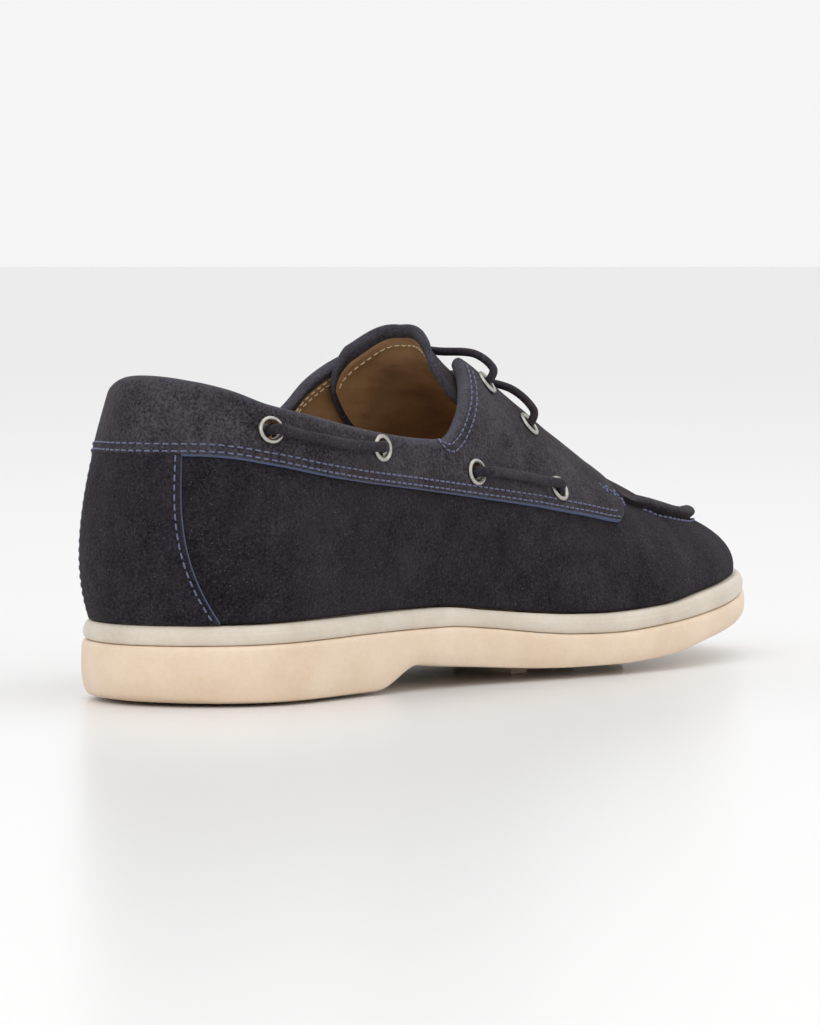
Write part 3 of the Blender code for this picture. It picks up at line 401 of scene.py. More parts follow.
def rubber(name, pale, deep, roughness, dots):
    """Moulded rubber: cloudy colour in patches of some centimetres and a skin of fine dots."""
    finish, tree, shader = new_finish(
        name, {"Roughness": roughness, "IOR": 1.52, "Subsurface Weight": 0.12, "Subsurface Scale": 0.002}
    )
    shader.inputs["Subsurface Radius"].default_value = (1.0, 0.6, 0.4)
    place = add_node(tree, "ShaderNodeTexCoord")
    here = add_node(tree, "ShaderNodeMapping", {"Scale": (1000.0,) * 3}, {"Vector": place.outputs["Object"]})
    cloud = add_node(
        tree, "ShaderNodeTexNoise", {"Scale": 1 / 22.0, "Detail": 4.0}, {"Vector": here.outputs["Vector"]}
    )
    fine = add_node(
        tree, "ShaderNodeTexNoise", {"Scale": 1 / 1.6, "Detail": 3.0}, {"Vector": here.outputs["Vector"]}
    )
    mixed = add_node(
        tree,
        "ShaderNodeMath",
        {1: 0.25},
        {0: fine.outputs["Fac"], 2: cloud.outputs["Fac"]},
        operation="MULTIPLY_ADD",
    )
    ramp = add_node(tree, "ShaderNodeValToRGB", None, {"Fac": mixed.outputs["Value"]})
    ramp.color_ramp.elements[0].position = 0.40
    ramp.color_ramp.elements[0].color = linear(deep)
    ramp.color_ramp.elements[1].position = 0.78
    ramp.color_ramp.elements[1].color = linear(pale)
    tree.links.new(ramp.outputs["Color"], shader.inputs["Base Color"])
    dot = add_node(
        tree, "ShaderNodeTexVoronoi", {"Scale": 1 / dots}, {"Vector": here.outputs["Vector"]}
    )
    bump = add_node(
        tree,
        "ShaderNodeBump",
        {"Strength": 0.22, "Distance": 0.00022},
        {"Height": dot.outputs["Distance"]},
    )
    wave = add_node(
        tree,
        "ShaderNodeBump",
        {"Strength": 0.30, "Distance": 0.0010},
        {"Height": cloud.outputs["Fac"], "Normal": bump.outputs["Normal"]},
    )
    tree.links.new(wave.outputs["Normal"], shader.inputs["Normal"])
    return finish


TREAD_BARS_FROM = 0.162
TREAD_BARS_TO = 0.206
TREAD_BAR_LENGTH = 0.0085
TREAD_BAR_SLANT = 0.030
TREAD_DEPTH = 0.002
TREAD_BAR_INSETS = (0.027, 0.036, 0.036, 0.036, 0.025)


def sole_mesh(name, grid, finish):
    """A closed slab from rings: the rings' own faces and the two flat ends, spanned side to side."""
    columns, rows = grid.shape[:2]
    index = np.arange(columns * rows).reshape(columns, rows)
    ahead = np.roll(index, -1, axis=0)
    faces = [np.stack([index[:, :-1], ahead[:, :-1], ahead[:, 1:], index[:, 1:]], axis=-1).reshape(-1, 4)]
    half = columns // 2
    i = np.arange(1, half - 1)
    for row, order in ((0, 1), (rows - 1, -1)):
        end = np.stack(
            [index[i, row], index[i + 1, row], index[-i - 1, row], index[-i, row]], axis=-1
        )
        faces.append(end[:, ::order])
    piece = faces_mesh(name, in_frame(grid.reshape(-1, 3)), np.concatenate(faces), [finish])
    weld(piece)
    return piece


def make_outsole():
    """The slab's rings run from the tread round the rounded foot and the bulge to the groove."""
    # Crepe-coloured rubber, IOR 1.52, roughness 0.5
    finish = rubber("cream rubber", "#EBD6BF", "#DFC6AA", 0.50, 0.9)
    u = SOLE_PLACES
    rings = (
        ring(u, TREAD_INSET, at(TREAD)),
        ring(u, 9.0 * MM, between(TREAD, SIDE_TREAD, 0.7)),
        ring(u, 4.6 * MM, at(SIDE_TREAD)),
        ring(u, 2.9 * MM, between(SIDE_TREAD, BOTTOM_EDGE, 0.35)),
        ring(u, 1.5 * MM, at(BOTTOM_EDGE)),
        ring(u, 0.4 * MM, between(BOTTOM_EDGE, GROOVE, 0.20)),
        ring(u, 0.0, between(BOTTOM_EDGE, GROOVE, 0.42)),
        ring(u, 0.0, between(BOTTOM_EDGE, GROOVE, 0.66)),
        ring(u, 0.15 * MM, at(GROOVE, -1.6 * MM)),
        ring(u, 0.5 * MM, at(GROOVE, -0.7 * MM)),
        ring(u, SIDE_BULGE, at(GROOVE, -0.05 * MM)),
        ring(u, 3.0 * MM, at(GROOVE)),
        ring(u, 4.5 * MM, at(GROOVE)),
    )
    outsole = sole_mesh("outsole_cream", rounded(rings, 4), finish)
    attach(outsole, "root")
    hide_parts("outsole")
    points = []
    faces = []
    box = np.array([(3, 2, 1, 0), (4, 5, 6, 7), (0, 1, 5, 4), (1, 2, 6, 5), (2, 3, 7, 6), (3, 0, 4, 7)])
    for i, inset in enumerate(TREAD_BAR_INSETS):
        share = i / (len(TREAD_BAR_INSETS) - 1)
        x = TREAD_BARS_FROM + (TREAD_BARS_TO - TREAD_BARS_FROM) * share
        ends = []
        for side, place in ((-1.0, x), (1.0, x + TREAD_BAR_SLANT)):
            t = station_at(place, side)
            across = sole_edge(np.array([round_place(t, side)]), inset)[0, 1]
            depth = sole_height(np.array([place]), TREAD)[0]
            ends.append((place, across, max(depth - TREAD_DEPTH, 0.0), depth + 2.0 * TREAD_DEPTH))
        half = TREAD_BAR_LENGTH / 2.0
        faces.append(box + 8 * i)
        for level in (2, 3):
            for sx, end in ((-1, ends[0]), (1, ends[0]), (1, ends[1]), (-1, ends[1])):
                points.append((end[0] + sx * half, end[1], end[level]))
    bars = faces_mesh("tread_bars", in_frame(np.array(points)), np.concatenate(faces), [finish])
    soft = bars.modifiers.new("rounding", "BEVEL")
    soft.width = 0.7 * MM
    soft.segments = 3
    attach(bars, "root")


FEATHER_INSET = 0.0036


def station_at(x, side):
    """Station whose rib starts at x along the shoe."""
    t = np.linspace(0.0, ROWS, 400)
    return np.interp(x, sole_edge(round_place(t, side), FEATHER_INSET)[:, 0], t)


make_outsole()

# Midsole. A band of paler, slightly clouded rubber round the upper's foot, cemented on the
# outsole, with a rounded upper edge and a groove under it.

RAND_ROUNDING = 0.0022


def make_midsole():
    """Rings from the groove up the upright side and over the rounded shoulder."""
    # Milky rubber, IOR 1.52, roughness 0.42
    finish = rubber("pale rand rubber", "#DBD1C3", "#C9BDAC", 0.42, 1.1)
    u = SOLE_PLACES
    rings = (
        ring(u, 5.5 * MM, at(GROOVE, 0.1 * MM)),
        ring(u, SIDE_BULGE + 0.7 * MM, at(GROOVE, 0.1 * MM)),
        ring(u, 0.95 * MM, at(GROOVE, GAP + 0.25 * MM)),
        ring(u, 0.55 * MM, at(GROOVE, GAP + 1.3 * MM)),
        ring(u, 0.60 * MM, between(GROOVE, RAND_TOP, 0.55)),
        ring(u, 0.75 * MM, at(RAND_TOP, -RAND_ROUNDING)),
        ring(u, 1.15 * MM, at(RAND_TOP, -0.45 * RAND_ROUNDING)),
        ring(u, 2.1 * MM, at(RAND_TOP, -0.05 * RAND_ROUNDING)),
        ring(u, 3.4 * MM, at(RAND_TOP)),
        ring(u, 7.0 * MM, at(RAND_TOP)),
    )
    midsole = sole_mesh("midsole_rand", rounded(rings, 4), finish)
    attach(midsole, "root")
    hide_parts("midsole")


make_midsole()

# Insole. A sock of smooth tan leather glued on the midsole inside the upper.

UPPER_WALL = 0.002
INSOLE_CLEARANCE = 0.0010
INSOLE_THICKNESS = 0.003


def leather(name, pale, deep, roughness, grain):
    """Smooth leather: patchy colour, fine pores and long soft wrinkles."""
    finish, tree, shader = new_finish(name, {"Roughness": roughness, "IOR": 1.5})
    place = add_node(tree, "ShaderNodeTexCoord")
    here = add_node(tree, "ShaderNodeMapping", {"Scale": (1000.0,) * 3}, {"Vector": place.outputs["Object"]})
    cloud = add_node(
        tree, "ShaderNodeTexNoise", {"Scale": 1 / 14.0, "Detail": 5.0}, {"Vector": here.outputs["Vector"]}
    )
    ramp = add_node(tree, "ShaderNodeValToRGB", None, {"Fac": cloud.outputs["Fac"]})
    ramp.color_ramp.elements[0].position = 0.32
    ramp.color_ramp.elements[0].color = linear(deep)
    ramp.color_ramp.elements[1].position = 0.68
    ramp.color_ramp.elements[1].color = linear(pale)
    tree.links.new(ramp.outputs["Color"], shader.inputs["Base Color"])
    pore = add_node(
        tree, "ShaderNodeTexVoronoi", {"Scale": 1 / grain}, {"Vector": here.outputs["Vector"]}
    )
    bump = add_node(
        tree,
        "ShaderNodeBump",
        {"Strength": 0.35, "Distance": 0.00012},
        {"Height": pore.outputs["Distance"]},
    )
    long = add_node(
        tree, "ShaderNodeMapping", {"Scale": (0.02, 0.09, 0.22)}, {"Vector": here.outputs["Vector"]}
    )
    wrinkle = add_node(
        tree, "ShaderNodeTexNoise", {"Scale": 1.0, "Detail": 2.0}, {"Vector": long.outputs["Vector"]}
    )
    soft = add_node(
        tree,
        "ShaderNodeBump",
        {"Strength": 0.5, "Distance": 0.0012},
        {"Height": wrinkle.outputs["Fac"], "Normal": bump.outputs["Normal"]},
    )
    tree.links.new(soft.outputs["Normal"], shader.inputs["Normal"])
    return finish


# Vegetable tanned leather, IOR 1.5, roughness 0.5
TAN = leather("tan leather", "#B08A62", "#87674A", 0.50, 0.7)


def make_insole():
    """Rings from its lower edge up and in to the flat top, joined into one closed board."""
    u = SOLE_PLACES
    inset = FEATHER_INSET + UPPER_WALL + INSOLE_CLEARANCE
    rings = (
        ring(u, inset, at(RAND_TOP, GAP)),
        ring(u, inset, at(RAND_TOP, GAP + 0.7 * INSOLE_THICKNESS)),
        ring(u, inset + 1.0 * MM, at(RAND_TOP, GAP + INSOLE_THICKNESS)),
        ring(u, inset + 6.0 * MM, at(RAND_TOP, GAP + INSOLE_THICKNESS)),
    )
    insole = sole_mesh("insole_sock", rounded(rings, 3), TAN)
    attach(insole, "root")
    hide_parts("insole")


make_insole()

# Upper. Vamp and quarters of navy suede with a tan leather lining, pulled over the last and
# cemented under the midsole's edge. Soft creases run over the ball and behind the heel.

INSTEP_HEIGHT = 0.100
OVERLAY_WALL = 0.0013
THROAT_HALF_WIDTH = 0.019
THROAT_START = 0.120
THROAT_END = 0.205
THROAT_ROUNDING = 0.016
FEATHER_GAP = 0.0005
RIBS_OUTER = (
    # crest along, across, height, low swell, low rise, high swell, high drop, forward turn
    (0.043, 0.00, 1.12, 0.175, 0.30, 0.08, 0.26, 0.00),
    (0.078, -0.26, 1.13, 0.185, 0.30, 0.105, 0.26, 0.00),
    (0.130, -0.36, 1.15, 0.110, 0.31, 0.25, 0.26, 0.00),
    (0.245, -0.30, 1.17, 0.140, 0.33, 0.44, 0.26, 0.00),
    (0.385, 0.00, 1.085, 0.165, 0.34, 0.63, 0.02, 0.00),
    (0.495, 0.04, 0.975, 0.150, 0.30, 0.424, 0.00, 0.00),
    (0.605, 0.07, 0.790, 0.099, 0.24, 0.350, 0.00, 0.00),
    (0.700, 0.10, 0.640, 0.060, 0.17, 0.300, 0.00, 0.00),
    (0.772, 0.12, 0.530, 0.055, 0.15, 0.360, 0.00, 0.14),
    (0.815, 0.14, 0.503, 0.045, 0.13, 0.390, 0.00, 0.45),
    (0.835, 0.16, 0.483, 0.040, 0.11, 0.400, 0.00, 0.82),
    (0.840, 0.17, 0.478, 0.035, 0.10, 0.420, 0.00, 1.00),
)

RIBS_INNER = (
    # crest along, across, height, low swell, low rise, high swell, high drop, forward turn
    (0.043, 0.00, 1.12, 0.175, 0.30, 0.08, 0.26, 0.00),
    (0.078, 0.26, 1.13, 0.185, 0.30, 0.105, 0.26, 0.00),
    (0.130, 0.36, 1.15, 0.110, 0.31, 0.27, 0.26, 0.00),
    (0.245, 0.34, 1.17, 0.220, 0.33, 0.50, 0.26, 0.00),
    (0.385, 0.10, 1.085, 0.260, 0.34, 0.60, 0.02, 0.00),
    (0.495, 0.04, 0.975, 0.180, 0.31, 0.440, 0.00, 0.00),
    (0.605, 0.07, 0.790, 0.120, 0.26, 0.390, 0.00, 0.00),
    (0.700, 0.10, 0.640, 0.080, 0.20, 0.350, 0.00, 0.00),
    (0.772, 0.12, 0.530, 0.060, 0.16, 0.390, 0.00, 0.14),
    (0.815, 0.14, 0.503, 0.050, 0.14, 0.400, 0.00, 0.45),
    (0.835, 0.16, 0.483, 0.040, 0.11, 0.410, 0.00, 0.82),
    (0.840, 0.17, 0.478, 0.035, 0.10, 0.420, 0.00, 1.00),
)

TOPLINE_OUTER = (
    # along, height
    (-0.050, 0.922),
    (0.020, 0.920),
    (0.049, 0.900),
    (0.067, 0.880),
    (0.096, 0.838),
    (0.144, 0.805),
    (0.194, 0.773),
    (0.252, 0.745),
    (0.304, 0.728),
    (0.345, 0.722),
    (0.362, 0.738),
    (0.385, 0.785),
    (0.404, 0.834),
    (0.421, 0.888),
    (0.439, 0.944),
    (0.455, 0.977),
    (0.470, 1.000),
    (0.600, 1.200),
)

TOPLINE_INNER = (
    # along, height
    (-0.050, 0.922),
    (0.020, 0.920),
    (0.049, 0.902),
    (0.067, 0.890),
    (0.096, 0.862),
    (0.144, 0.835),
    (0.194, 0.805),
    (0.252, 0.777),
    (0.304, 0.758),
    (0.343, 0.755),
    (0.360, 0.770),
    (0.382, 0.820),
    (0.400, 0.884),
    (0.420, 0.930),
    (0.436, 0.960),
    (0.450, 0.985),
    (0.600, 1.200),
)

BAND_SEAM = (
    # along, height
    (-0.050, 0.697),
    (0.034, 0.694),
    (0.095, 0.664),
    (0.152, 0.633),
    (0.212, 0.609),
    (0.297, 0.581),
    (0.386, 0.549),
    (0.476, 0.514),
    (0.568, 0.474),
    (0.634, 0.447),
    (0.700, 0.430),
)

BAND_FRONT = (
    # height, along
    (0.380, 0.622),
    (0.445, 0.628),
    (0.470, 0.646),
    (0.520, 0.668),
    (0.570, 0.684),
    (0.640, 0.690),
    (0.800, 0.690),
)
SIDES = (("outer", -1.0), ("inner", 1.0))
FINE = 241


def rib_rows():
    """The ribs' table in metres: shares times sole length, half ball width and instep height."""
    half_ball = BALL_WIDTH / 2.0
    scale = np.array(
        [
            SOLE_LENGTH,
            half_ball,
            INSTEP_HEIGHT,
            half_ball,
            INSTEP_HEIGHT,
            half_ball,
            INSTEP_HEIGHT,
            1.0,
        ]
    )
    return around(np.array(RIBS_OUTER) * scale, np.array(RIBS_INNER) * scale)


RIBS = rib_rows()


def skin(u, v):
    """The last's skin at round place u and share v up the rib, by cubic arcs between two rails."""
    u, v = np.broadcast_arrays(np.asarray(u, float), np.asarray(v, float))
    plan = sole_edge(u, FEATHER_INSET)
    foot = np.concatenate([plan, (sole_height(plan[..., 0], RAND_TOP) + FEATHER_GAP)[..., None]], axis=-1)
    rib = closed_spline(RIBS, u)
    station = np.minimum(u, 2 * ROWS - u)
    on_spine = np.clip((station - 3.6) / 0.8, 0.0, 1.0)
    shared = on_spine * on_spine * (3.0 - 2.0 * on_spine) / 2.0
    crest = rib[..., 0:3].copy()
    across_there = closed_spline(RIBS, 2 * ROWS - u)[..., 1]
    crest[..., 1] = crest[..., 1] * (1.0 - shared) + across_there * shared
    out = foot[..., 0:2] - crest[..., 0:2]
    out /= np.linalg.norm(out, axis=-1, keepdims=True)
    low = foot.copy()
    low[..., 0:2] += out * rib[..., 3:4]
    low[..., 2] += rib[..., 4]
    turn = np.clip(rib[..., 7], 0.0, 1.0) * math.pi / 2.0
    slope = crest_slope(station)
    side = np.where(u <= ROWS, -1.0, 1.0)
    on_spine = on_spine[..., None]
    across = np.stack([0 * turn, side * np.cos(turn), 0 * turn], axis=-1)
    forward = np.stack([np.sin(turn), 0 * turn, np.sin(turn) * slope], axis=-1)
    spread = np.concatenate([out, np.zeros_like(out[..., :1])], axis=-1)
    direction = on_spine * (across + forward) + (1.0 - on_spine) * spread
    high = crest + direction * rib[..., 5:6]
    high[..., 2] -= rib[..., 6]
    v = v[..., None]
    w = 1.0 - v
    return w**3 * foot + 3 * w * w * v * low + 3 * w * v * v * high + v**3 * crest


# Stations from the toe's last rib over which the crest keeps one slope, as the ribs bunch up there
CREST_END = 1.0


def crest_slope(station):
    """Rise of the crest for each metre forward, read from the outer side's rows."""
    step = 0.05
    station = np.minimum(station, ROWS - CREST_END)
    back = closed_spline(RIBS, np.clip(station - step, 0.0, ROWS - step))
    front = closed_spline(RIBS, np.clip(station + step, step, ROWS))
    run = np.maximum(front[..., 0] - back[..., 0], 1e-6)
    return np.clip((front[..., 2] - back[..., 2]) / run, -1.2, 0.6)


def one_side_normal(u, v):
    """Cross product of the skin's steps along u and up v, made one long."""
    du = 0.02
    dv = 0.01
    v = np.minimum(v, 0.975)
    along = skin(u + du, v) - skin(u - du, v)
    up = skin(u, v + dv) - skin(u, np.maximum(v - dv, 0.0))
    normal = np.cross(along, up)
    return normal / np.linalg.norm(normal, axis=-1, keepdims=True)


def skin_normal(u, v):
    """Outward direction of the skin. Towards the crest both sides' directions run into one."""
    here = one_side_normal(u, v)
    there = one_side_normal(2 * ROWS - u, v)
    station = np.minimum(u, 2 * ROWS - u)
    near = np.clip((v - 0.88) / 0.12, 0.0, 1.0) * np.clip((station - 4.0) * 2.0, 0.0, 1.0)
    share = (near * near * (3.0 - 2.0 * near) / 2.0)[..., None]
    normal = here * (1.0 - share) + there * share
    return normal / np.linalg.norm(normal, axis=-1, keepdims=True)


def skin_at(u, v, offset):
    """The skin moved outwards by offset along its normal."""
    offset = np.broadcast_to(offset, np.broadcast(u, v).shape)[..., None]
    return skin(u, v) + skin_normal(u, v) * offset


def crest_across(x):
    """Where the crest lies across the shoe, at a place along it."""
    rows = np.array(RIBS_OUTER)
    order = rows[4:]
    return np.interp(x / SOLE_LENGTH, order[:, 0], order[:, 1]) * BALL_WIDTH / 2.0


def first_share(t, side, kept):
    """Highest share v that each rib keeps, going up from the feather edge, where kept is above 0."""
    v = np.linspace(0.0, 1.0, FINE)
    u = round_place(t, side)
    points = skin(u[:, None], v[None, :])
    value = kept(points)
    gone = value <= 0.0
    gone[:, 0] = False
    found = gone.any(axis=1)
    i = np.where(found, gone.argmax(axis=1), FINE - 1)
    rows = np.arange(len(t))
    high = value[rows, i]
    low = value[rows, np.maximum(i - 1, 0)]
    part = np.where(found, low / np.maximum(low - high, 1e-12), 1.0)
    return np.where(found, (i - 1 + part) / (FINE - 1), 1.0)


def topline_height(x, side):
    """Height of the top line, the same on both sides at the heel's back."""
    along = x / SOLE_LENGTH
    outer = curve_height(TOPLINE_OUTER, 1, along)
    inner = curve_height(TOPLINE_INNER, 1, along)
    share = np.clip((along - 0.04) / 0.08, 0.0, 1.0) if side > 0 else 0.0
    return (outer + (inner - outer) * share) * INSTEP_HEIGHT


def topline_share(t, side):
    """Share up each rib where it passes the top line or meets the throat's edge."""
    def kept(points):
        x = points[..., 0]
        z = points[..., 2]
        below = topline_height(x, side) - z
        reach = THROAT_END - x
        open_part = np.clip(reach / THROAT_ROUNDING, 0.0, 1.0)
        half = THROAT_HALF_WIDTH * np.sqrt(1.0 - (1.0 - open_part) ** 2)
        beside = np.abs(points[..., 1] - crest_across(x)) - half
        beside = np.where((reach > 0.0) & (x > THROAT_START), beside, 1.0)
        return np.minimum(below, beside)

    return first_share(t, side, kept)


def seam_share(t, side):
    """Share up each rib where it passes the band's lower seam."""
    def kept(points):
        seam = curve_height(BAND_SEAM, 1, points[..., 0] / SOLE_LENGTH) * INSTEP_HEIGHT
        return seam - points[..., 2]

    return first_share(t, side, kept)


# Soft creases: a trough or ridge of the given depth, long and narrow, on one side or both
CREASES = (
    # side, along, height, lean in degrees, half length, half width, depth
    ("both", 0.690, 0.400, 62.0, 0.020, 0.0050, 0.0007),
    ("both", 0.640, 0.330, 55.0, 0.024, 0.0060, 0.0006),
    ("both", 0.745, 0.360, 70.0, 0.016, 0.0045, 0.0005),
    ("outer", 0.590, 0.400, 30.0, 0.020, 0.0050, 0.0005),
    ("outer", 0.480, 0.330, 12.0, 0.030, 0.0070, 0.0006),
    ("inner", 0.520, 0.360, 18.0, 0.030, 0.0070, 0.0006),
    ("both", 0.300, 0.420, -8.0, 0.036, 0.0080, 0.0007),
    ("both", 0.180, 0.360, 20.0, 0.022, 0.0070, 0.0005),
    ("both", 0.455, 0.760, 58.0, 0.014, 0.0040, 0.0005),
    ("both", 0.520, 0.640, 50.0, 0.016, 0.0045, -0.0004),
    ("both", 0.840, 0.330, 80.0, 0.014, 0.0070, 0.0004),
)


def crease_depth(points):
    """Sum of the creases, each a bell across its line times a bell along it."""
    total = np.zeros(points.shape[:-1])
    for side, along, height, lean, length, width, depth in CREASES:
        dx = points[..., 0] - along * SOLE_LENGTH
        dz = points[..., 2] - height * INSTEP_HEIGHT
        turn = math.radians(lean)
        run = dx * math.cos(turn) + dz * math.sin(turn)
        across = dz * math.cos(turn) - dx * math.sin(turn)
        bell = depth * np.exp(-((run / length) ** 2) - (across / width) ** 2)
        if side != "both":
            bell = bell * ((points[..., 1] > 0.0) == (side == "inner"))
        total += bell
    return total


def shell(u, v, offset):
    """The creased skin, moved outwards by offset along its normal, in the frame's place."""
    base = skin(u, v)
    depth = np.broadcast_to(offset, base.shape[:-1]) - crease_depth(base)
    return in_frame(base + skin_normal(u, v) * depth[..., None])


def up_speed(u, v):
    """Metres of rib for each whole share v."""
    low = np.clip(v - 0.01, 0.0, 0.98)
    return np.linalg.norm(skin(u, low + 0.02) - skin(u, low), axis=-1) / 0.02


def find_on_skin(along, height, side):
    """Round place and share of points given by shares of length and height, by Newton's steps."""
    x = np.atleast_1d(along) * SOLE_LENGTH
    z = np.atleast_1d(height) * INSTEP_HEIGHT
    t = np.linspace(0.3, 9.5, 185)
    v = np.linspace(0.0, 1.0, 81)
    coarse = skin(round_place(t, side)[:, None], v[None, :])
    far = (coarse[None, ..., 0] - x[:, None, None]) ** 2 + (coarse[None, ..., 2] - z[:, None, None]) ** 2
    best = far.reshape(len(x), -1).argmin(axis=1)
    t = t[best // len(v)]
    v = v[best % len(v)]
    for _ in range(6):
        here = skin(round_place(t, side), v)
        dt = (skin(round_place(t + 0.01, side), v) - here) / 0.01
        dv = (skin(round_place(t, side), v - 0.005) - here) / -0.005
        ex, ez = x - here[:, 0], z - here[:, 2]
        det = dt[:, 0] * dv[:, 2] - dv[:, 0] * dt[:, 2]
        det = np.where(np.abs(det) < 1e-9, 1e-9, det)
        t = t + np.clip((ex * dv[:, 2] - dv[:, 0] * ez) / det, -0.2, 0.2)
        v = np.clip(v + np.clip((dt[:, 0] * ez - ex * dt[:, 2]) / det, -0.05, 0.05), 0.0, 1.0)
    return round_place(t, side), v


EYELETS = (
    # name, along on the outer side, along on the inner side, height
    ("heel_rear", 0.092, 0.122, 0.762),
    ("heel_front", 0.236, 0.250, 0.703),
    ("side_rear", 0.389, 0.389, 0.620),
    ("side_front", 0.527, 0.527, 0.554),
    ("throat_top", 0.474, 0.474, 0.866),
    ("throat_low", 0.528, 0.528, 0.738),
)


def eyelet_places():
    """Place, outward direction, round place and share of each eyelet, on the skin."""
    found = {}
    for label, side in SIDES:
        for name, outer_along, inner_along, height in EYELETS:
            u, v = find_on_skin(outer_along if side < 0 else inner_along, height, side)
            normal = skin_normal(u, v)[0]
            place = shell(u, v, GAP + OVERLAY_WALL)[0]
            found[f"{label}_{name}"] = (place, normal, u[0], v[0])
    return found


PLACES = eyelet_places()
HOLE_RADIUS = 0.0032


def punch(piece, radius):
    """Takes out the faces inside each eyelet's hole. The eyelet's rim covers the cut."""
    mesh = piece.data
    points = np.empty(len(mesh.vertices) * 3, np.float32)
    mesh.vertices.foreach_get("co", points)
    points = points.reshape(-1, 3)
    inside = np.zeros(len(points), bool)
    for place, normal, _, _ in PLACES.values():
        away = points - place
        deep = away @ normal
        beside = np.linalg.norm(away - deep[:, None] * normal, axis=1)
        inside |= (np.abs(deep) < 0.006) & (beside < radius)
    work = bmesh.new()
    work.from_mesh(mesh)
    work.verts.ensure_lookup_table()
    gone = [vert for vert, hit in zip(work.verts, inside) if hit]
    bmesh.ops.delete(work, geom=gone, context="VERTS")
    work.to_mesh(mesh)
    work.free()


def suede(name, deep, pale, warm, edge="#5A5A64"):
    """Suede: blotches of pale and warm tone, streaks of nap, a fibrous bump, worn pale at its rims."""
    # Suede, IOR 1.45, roughness 0.95
    finish, tree, shader = new_finish(
        name,
        {
            "Roughness": 0.95,
            "IOR": 1.45,
            "Specular IOR Level": 0.15,
            "Sheen Weight": 0.12,
            "Sheen Roughness": 0.45,
            "Sheen Tint": linear("#A39C9E"),
        },
    )
    place = add_node(tree, "ShaderNodeTexCoord")
    here = add_node(tree, "ShaderNodeMapping", {"Scale": (1000.0,) * 3}, {"Vector": place.outputs["Object"]})
    spot = here.outputs["Vector"]
    grains = []
    for across, detail, rough in ((26.0, 3.0, 0.55), (6.5, 4.0, 0.6), (0.85, 4.0, 0.75)):
        values = {"Scale": 1 / across, "Detail": detail, "Roughness": rough}
        grains.append(add_node(tree, "ShaderNodeTexNoise", values, {"Vector": spot}))
    blotch, patch, nap = grains
    lint = add_node(tree, "ShaderNodeTexNoise", {"Scale": 1 / 0.42, "Detail": 1.0}, {"Vector": spot})
    lean = add_node(tree, "ShaderNodeMapping", {"Scale": (0.9, 0.9, 0.35)}, {"Vector": spot})
    along_nap = {"Vector": lean.outputs["Vector"]}
    streak = add_node(tree, "ShaderNodeTexNoise", {"Scale": 1 / 1.4, "Detail": 3.0}, along_nap)
    wide = add_node(tree, "ShaderNodeMath", {1: 0.55}, {0: blotch.outputs["Fac"]}, operation="MULTIPLY")
    total = wide
    for weight, grain in ((0.35, patch), (1.60, nap), (0.20, streak)):
        ends = {0: grain.outputs["Fac"], 2: total.outputs["Value"]}
        total = add_node(tree, "ShaderNodeMath", {1: weight}, ends, operation="MULTIPLY_ADD")
    reach = {"From Min": 1.10, "From Max": 1.66}
    tone = add_node(tree, "ShaderNodeMapRange", reach, {"Value": total.outputs["Value"]})
    shade = add_node(tree, "ShaderNodeValToRGB", None, {"Fac": tone.outputs["Result"]})
    shade.color_ramp.elements[0].color = linear(deep)
    shade.color_ramp.elements[1].color = linear(pale)
    offset = add_node(tree, "ShaderNodeMapping", {"Location": (37.0, 11.0, 5.0)}, {"Vector": spot})
    apart = {"Vector": offset.outputs["Vector"]}
    tint = add_node(tree, "ShaderNodeTexNoise", {"Scale": 1 / 18.0, "Detail": 2.0}, apart)
    reach = {"From Min": 0.48, "From Max": 0.72, "To Max": 0.6}
    much = add_node(tree, "ShaderNodeMapRange", reach, {"Value": tint.outputs["Fac"]})
    warmed = add_node(
        tree, "ShaderNodeMix", {"B": linear(warm)}, {"Factor": much.outputs["Result"]}, data_type="RGBA"
    )
    tree.links.new(shade.outputs["Color"], warmed.inputs[6])
    warmed.inputs[7].default_value = linear(warm)
    rim = add_node(tree, "ShaderNodeAttribute", attribute_name="rim")
    worn = add_node(
        tree, "ShaderNodeMath", None, {0: rim.outputs["Fac"], 1: nap.outputs["Fac"]}, operation="MULTIPLY"
    )
    edged = add_node(tree, "ShaderNodeMix", None, {"Factor": worn.outputs["Value"]}, data_type="RGBA")
    tree.links.new(warmed.outputs[2], edged.inputs[6])
    edged.inputs[7].default_value = linear(edge)
    reach = {"From Min": 0.66, "From Max": 0.78, "To Max": 0.6}
    speck = add_node(tree, "ShaderNodeMapRange", reach, {"Value": lint.outputs["Fac"]})
    dusted = add_node(tree, "ShaderNodeMix", None, {"Factor": speck.outputs["Result"]}, data_type="RGBA")
    tree.links.new(edged.outputs[2], dusted.inputs[6])
    dusted.inputs[7].default_value = linear("#6E6C78")
    raw = add_node(tree, "ShaderNodeAttribute", attribute_name="raw")
    cut = add_node(tree, "ShaderNodeMix", None, {"Factor": raw.outputs["Fac"]}, data_type="RGBA")
    tree.links.new(dusted.outputs[2], cut.inputs[6])
    cut.inputs[7].default_value = linear("#5F6A8A")
    tree.links.new(cut.outputs[2], shader.inputs["Base Color"])
    fibre = add_node(
        tree, "ShaderNodeBump", {"Strength": 0.8, "Distance": 0.0005}, {"Height": nap.outputs["Fac"]}
    )
    low = add_node(
        tree,
        "ShaderNodeBump",
        {"Strength": 0.45, "Distance": 0.0012},
        {"Height": patch.outputs["Fac"], "Normal": fibre.outputs["Normal"]},
    )
    tree.links.new(low.outputs["Normal"], shader.inputs["Normal"])
    return finish


NAVY = suede("navy suede", "#0C0B0F", "#36333A", "#292123")


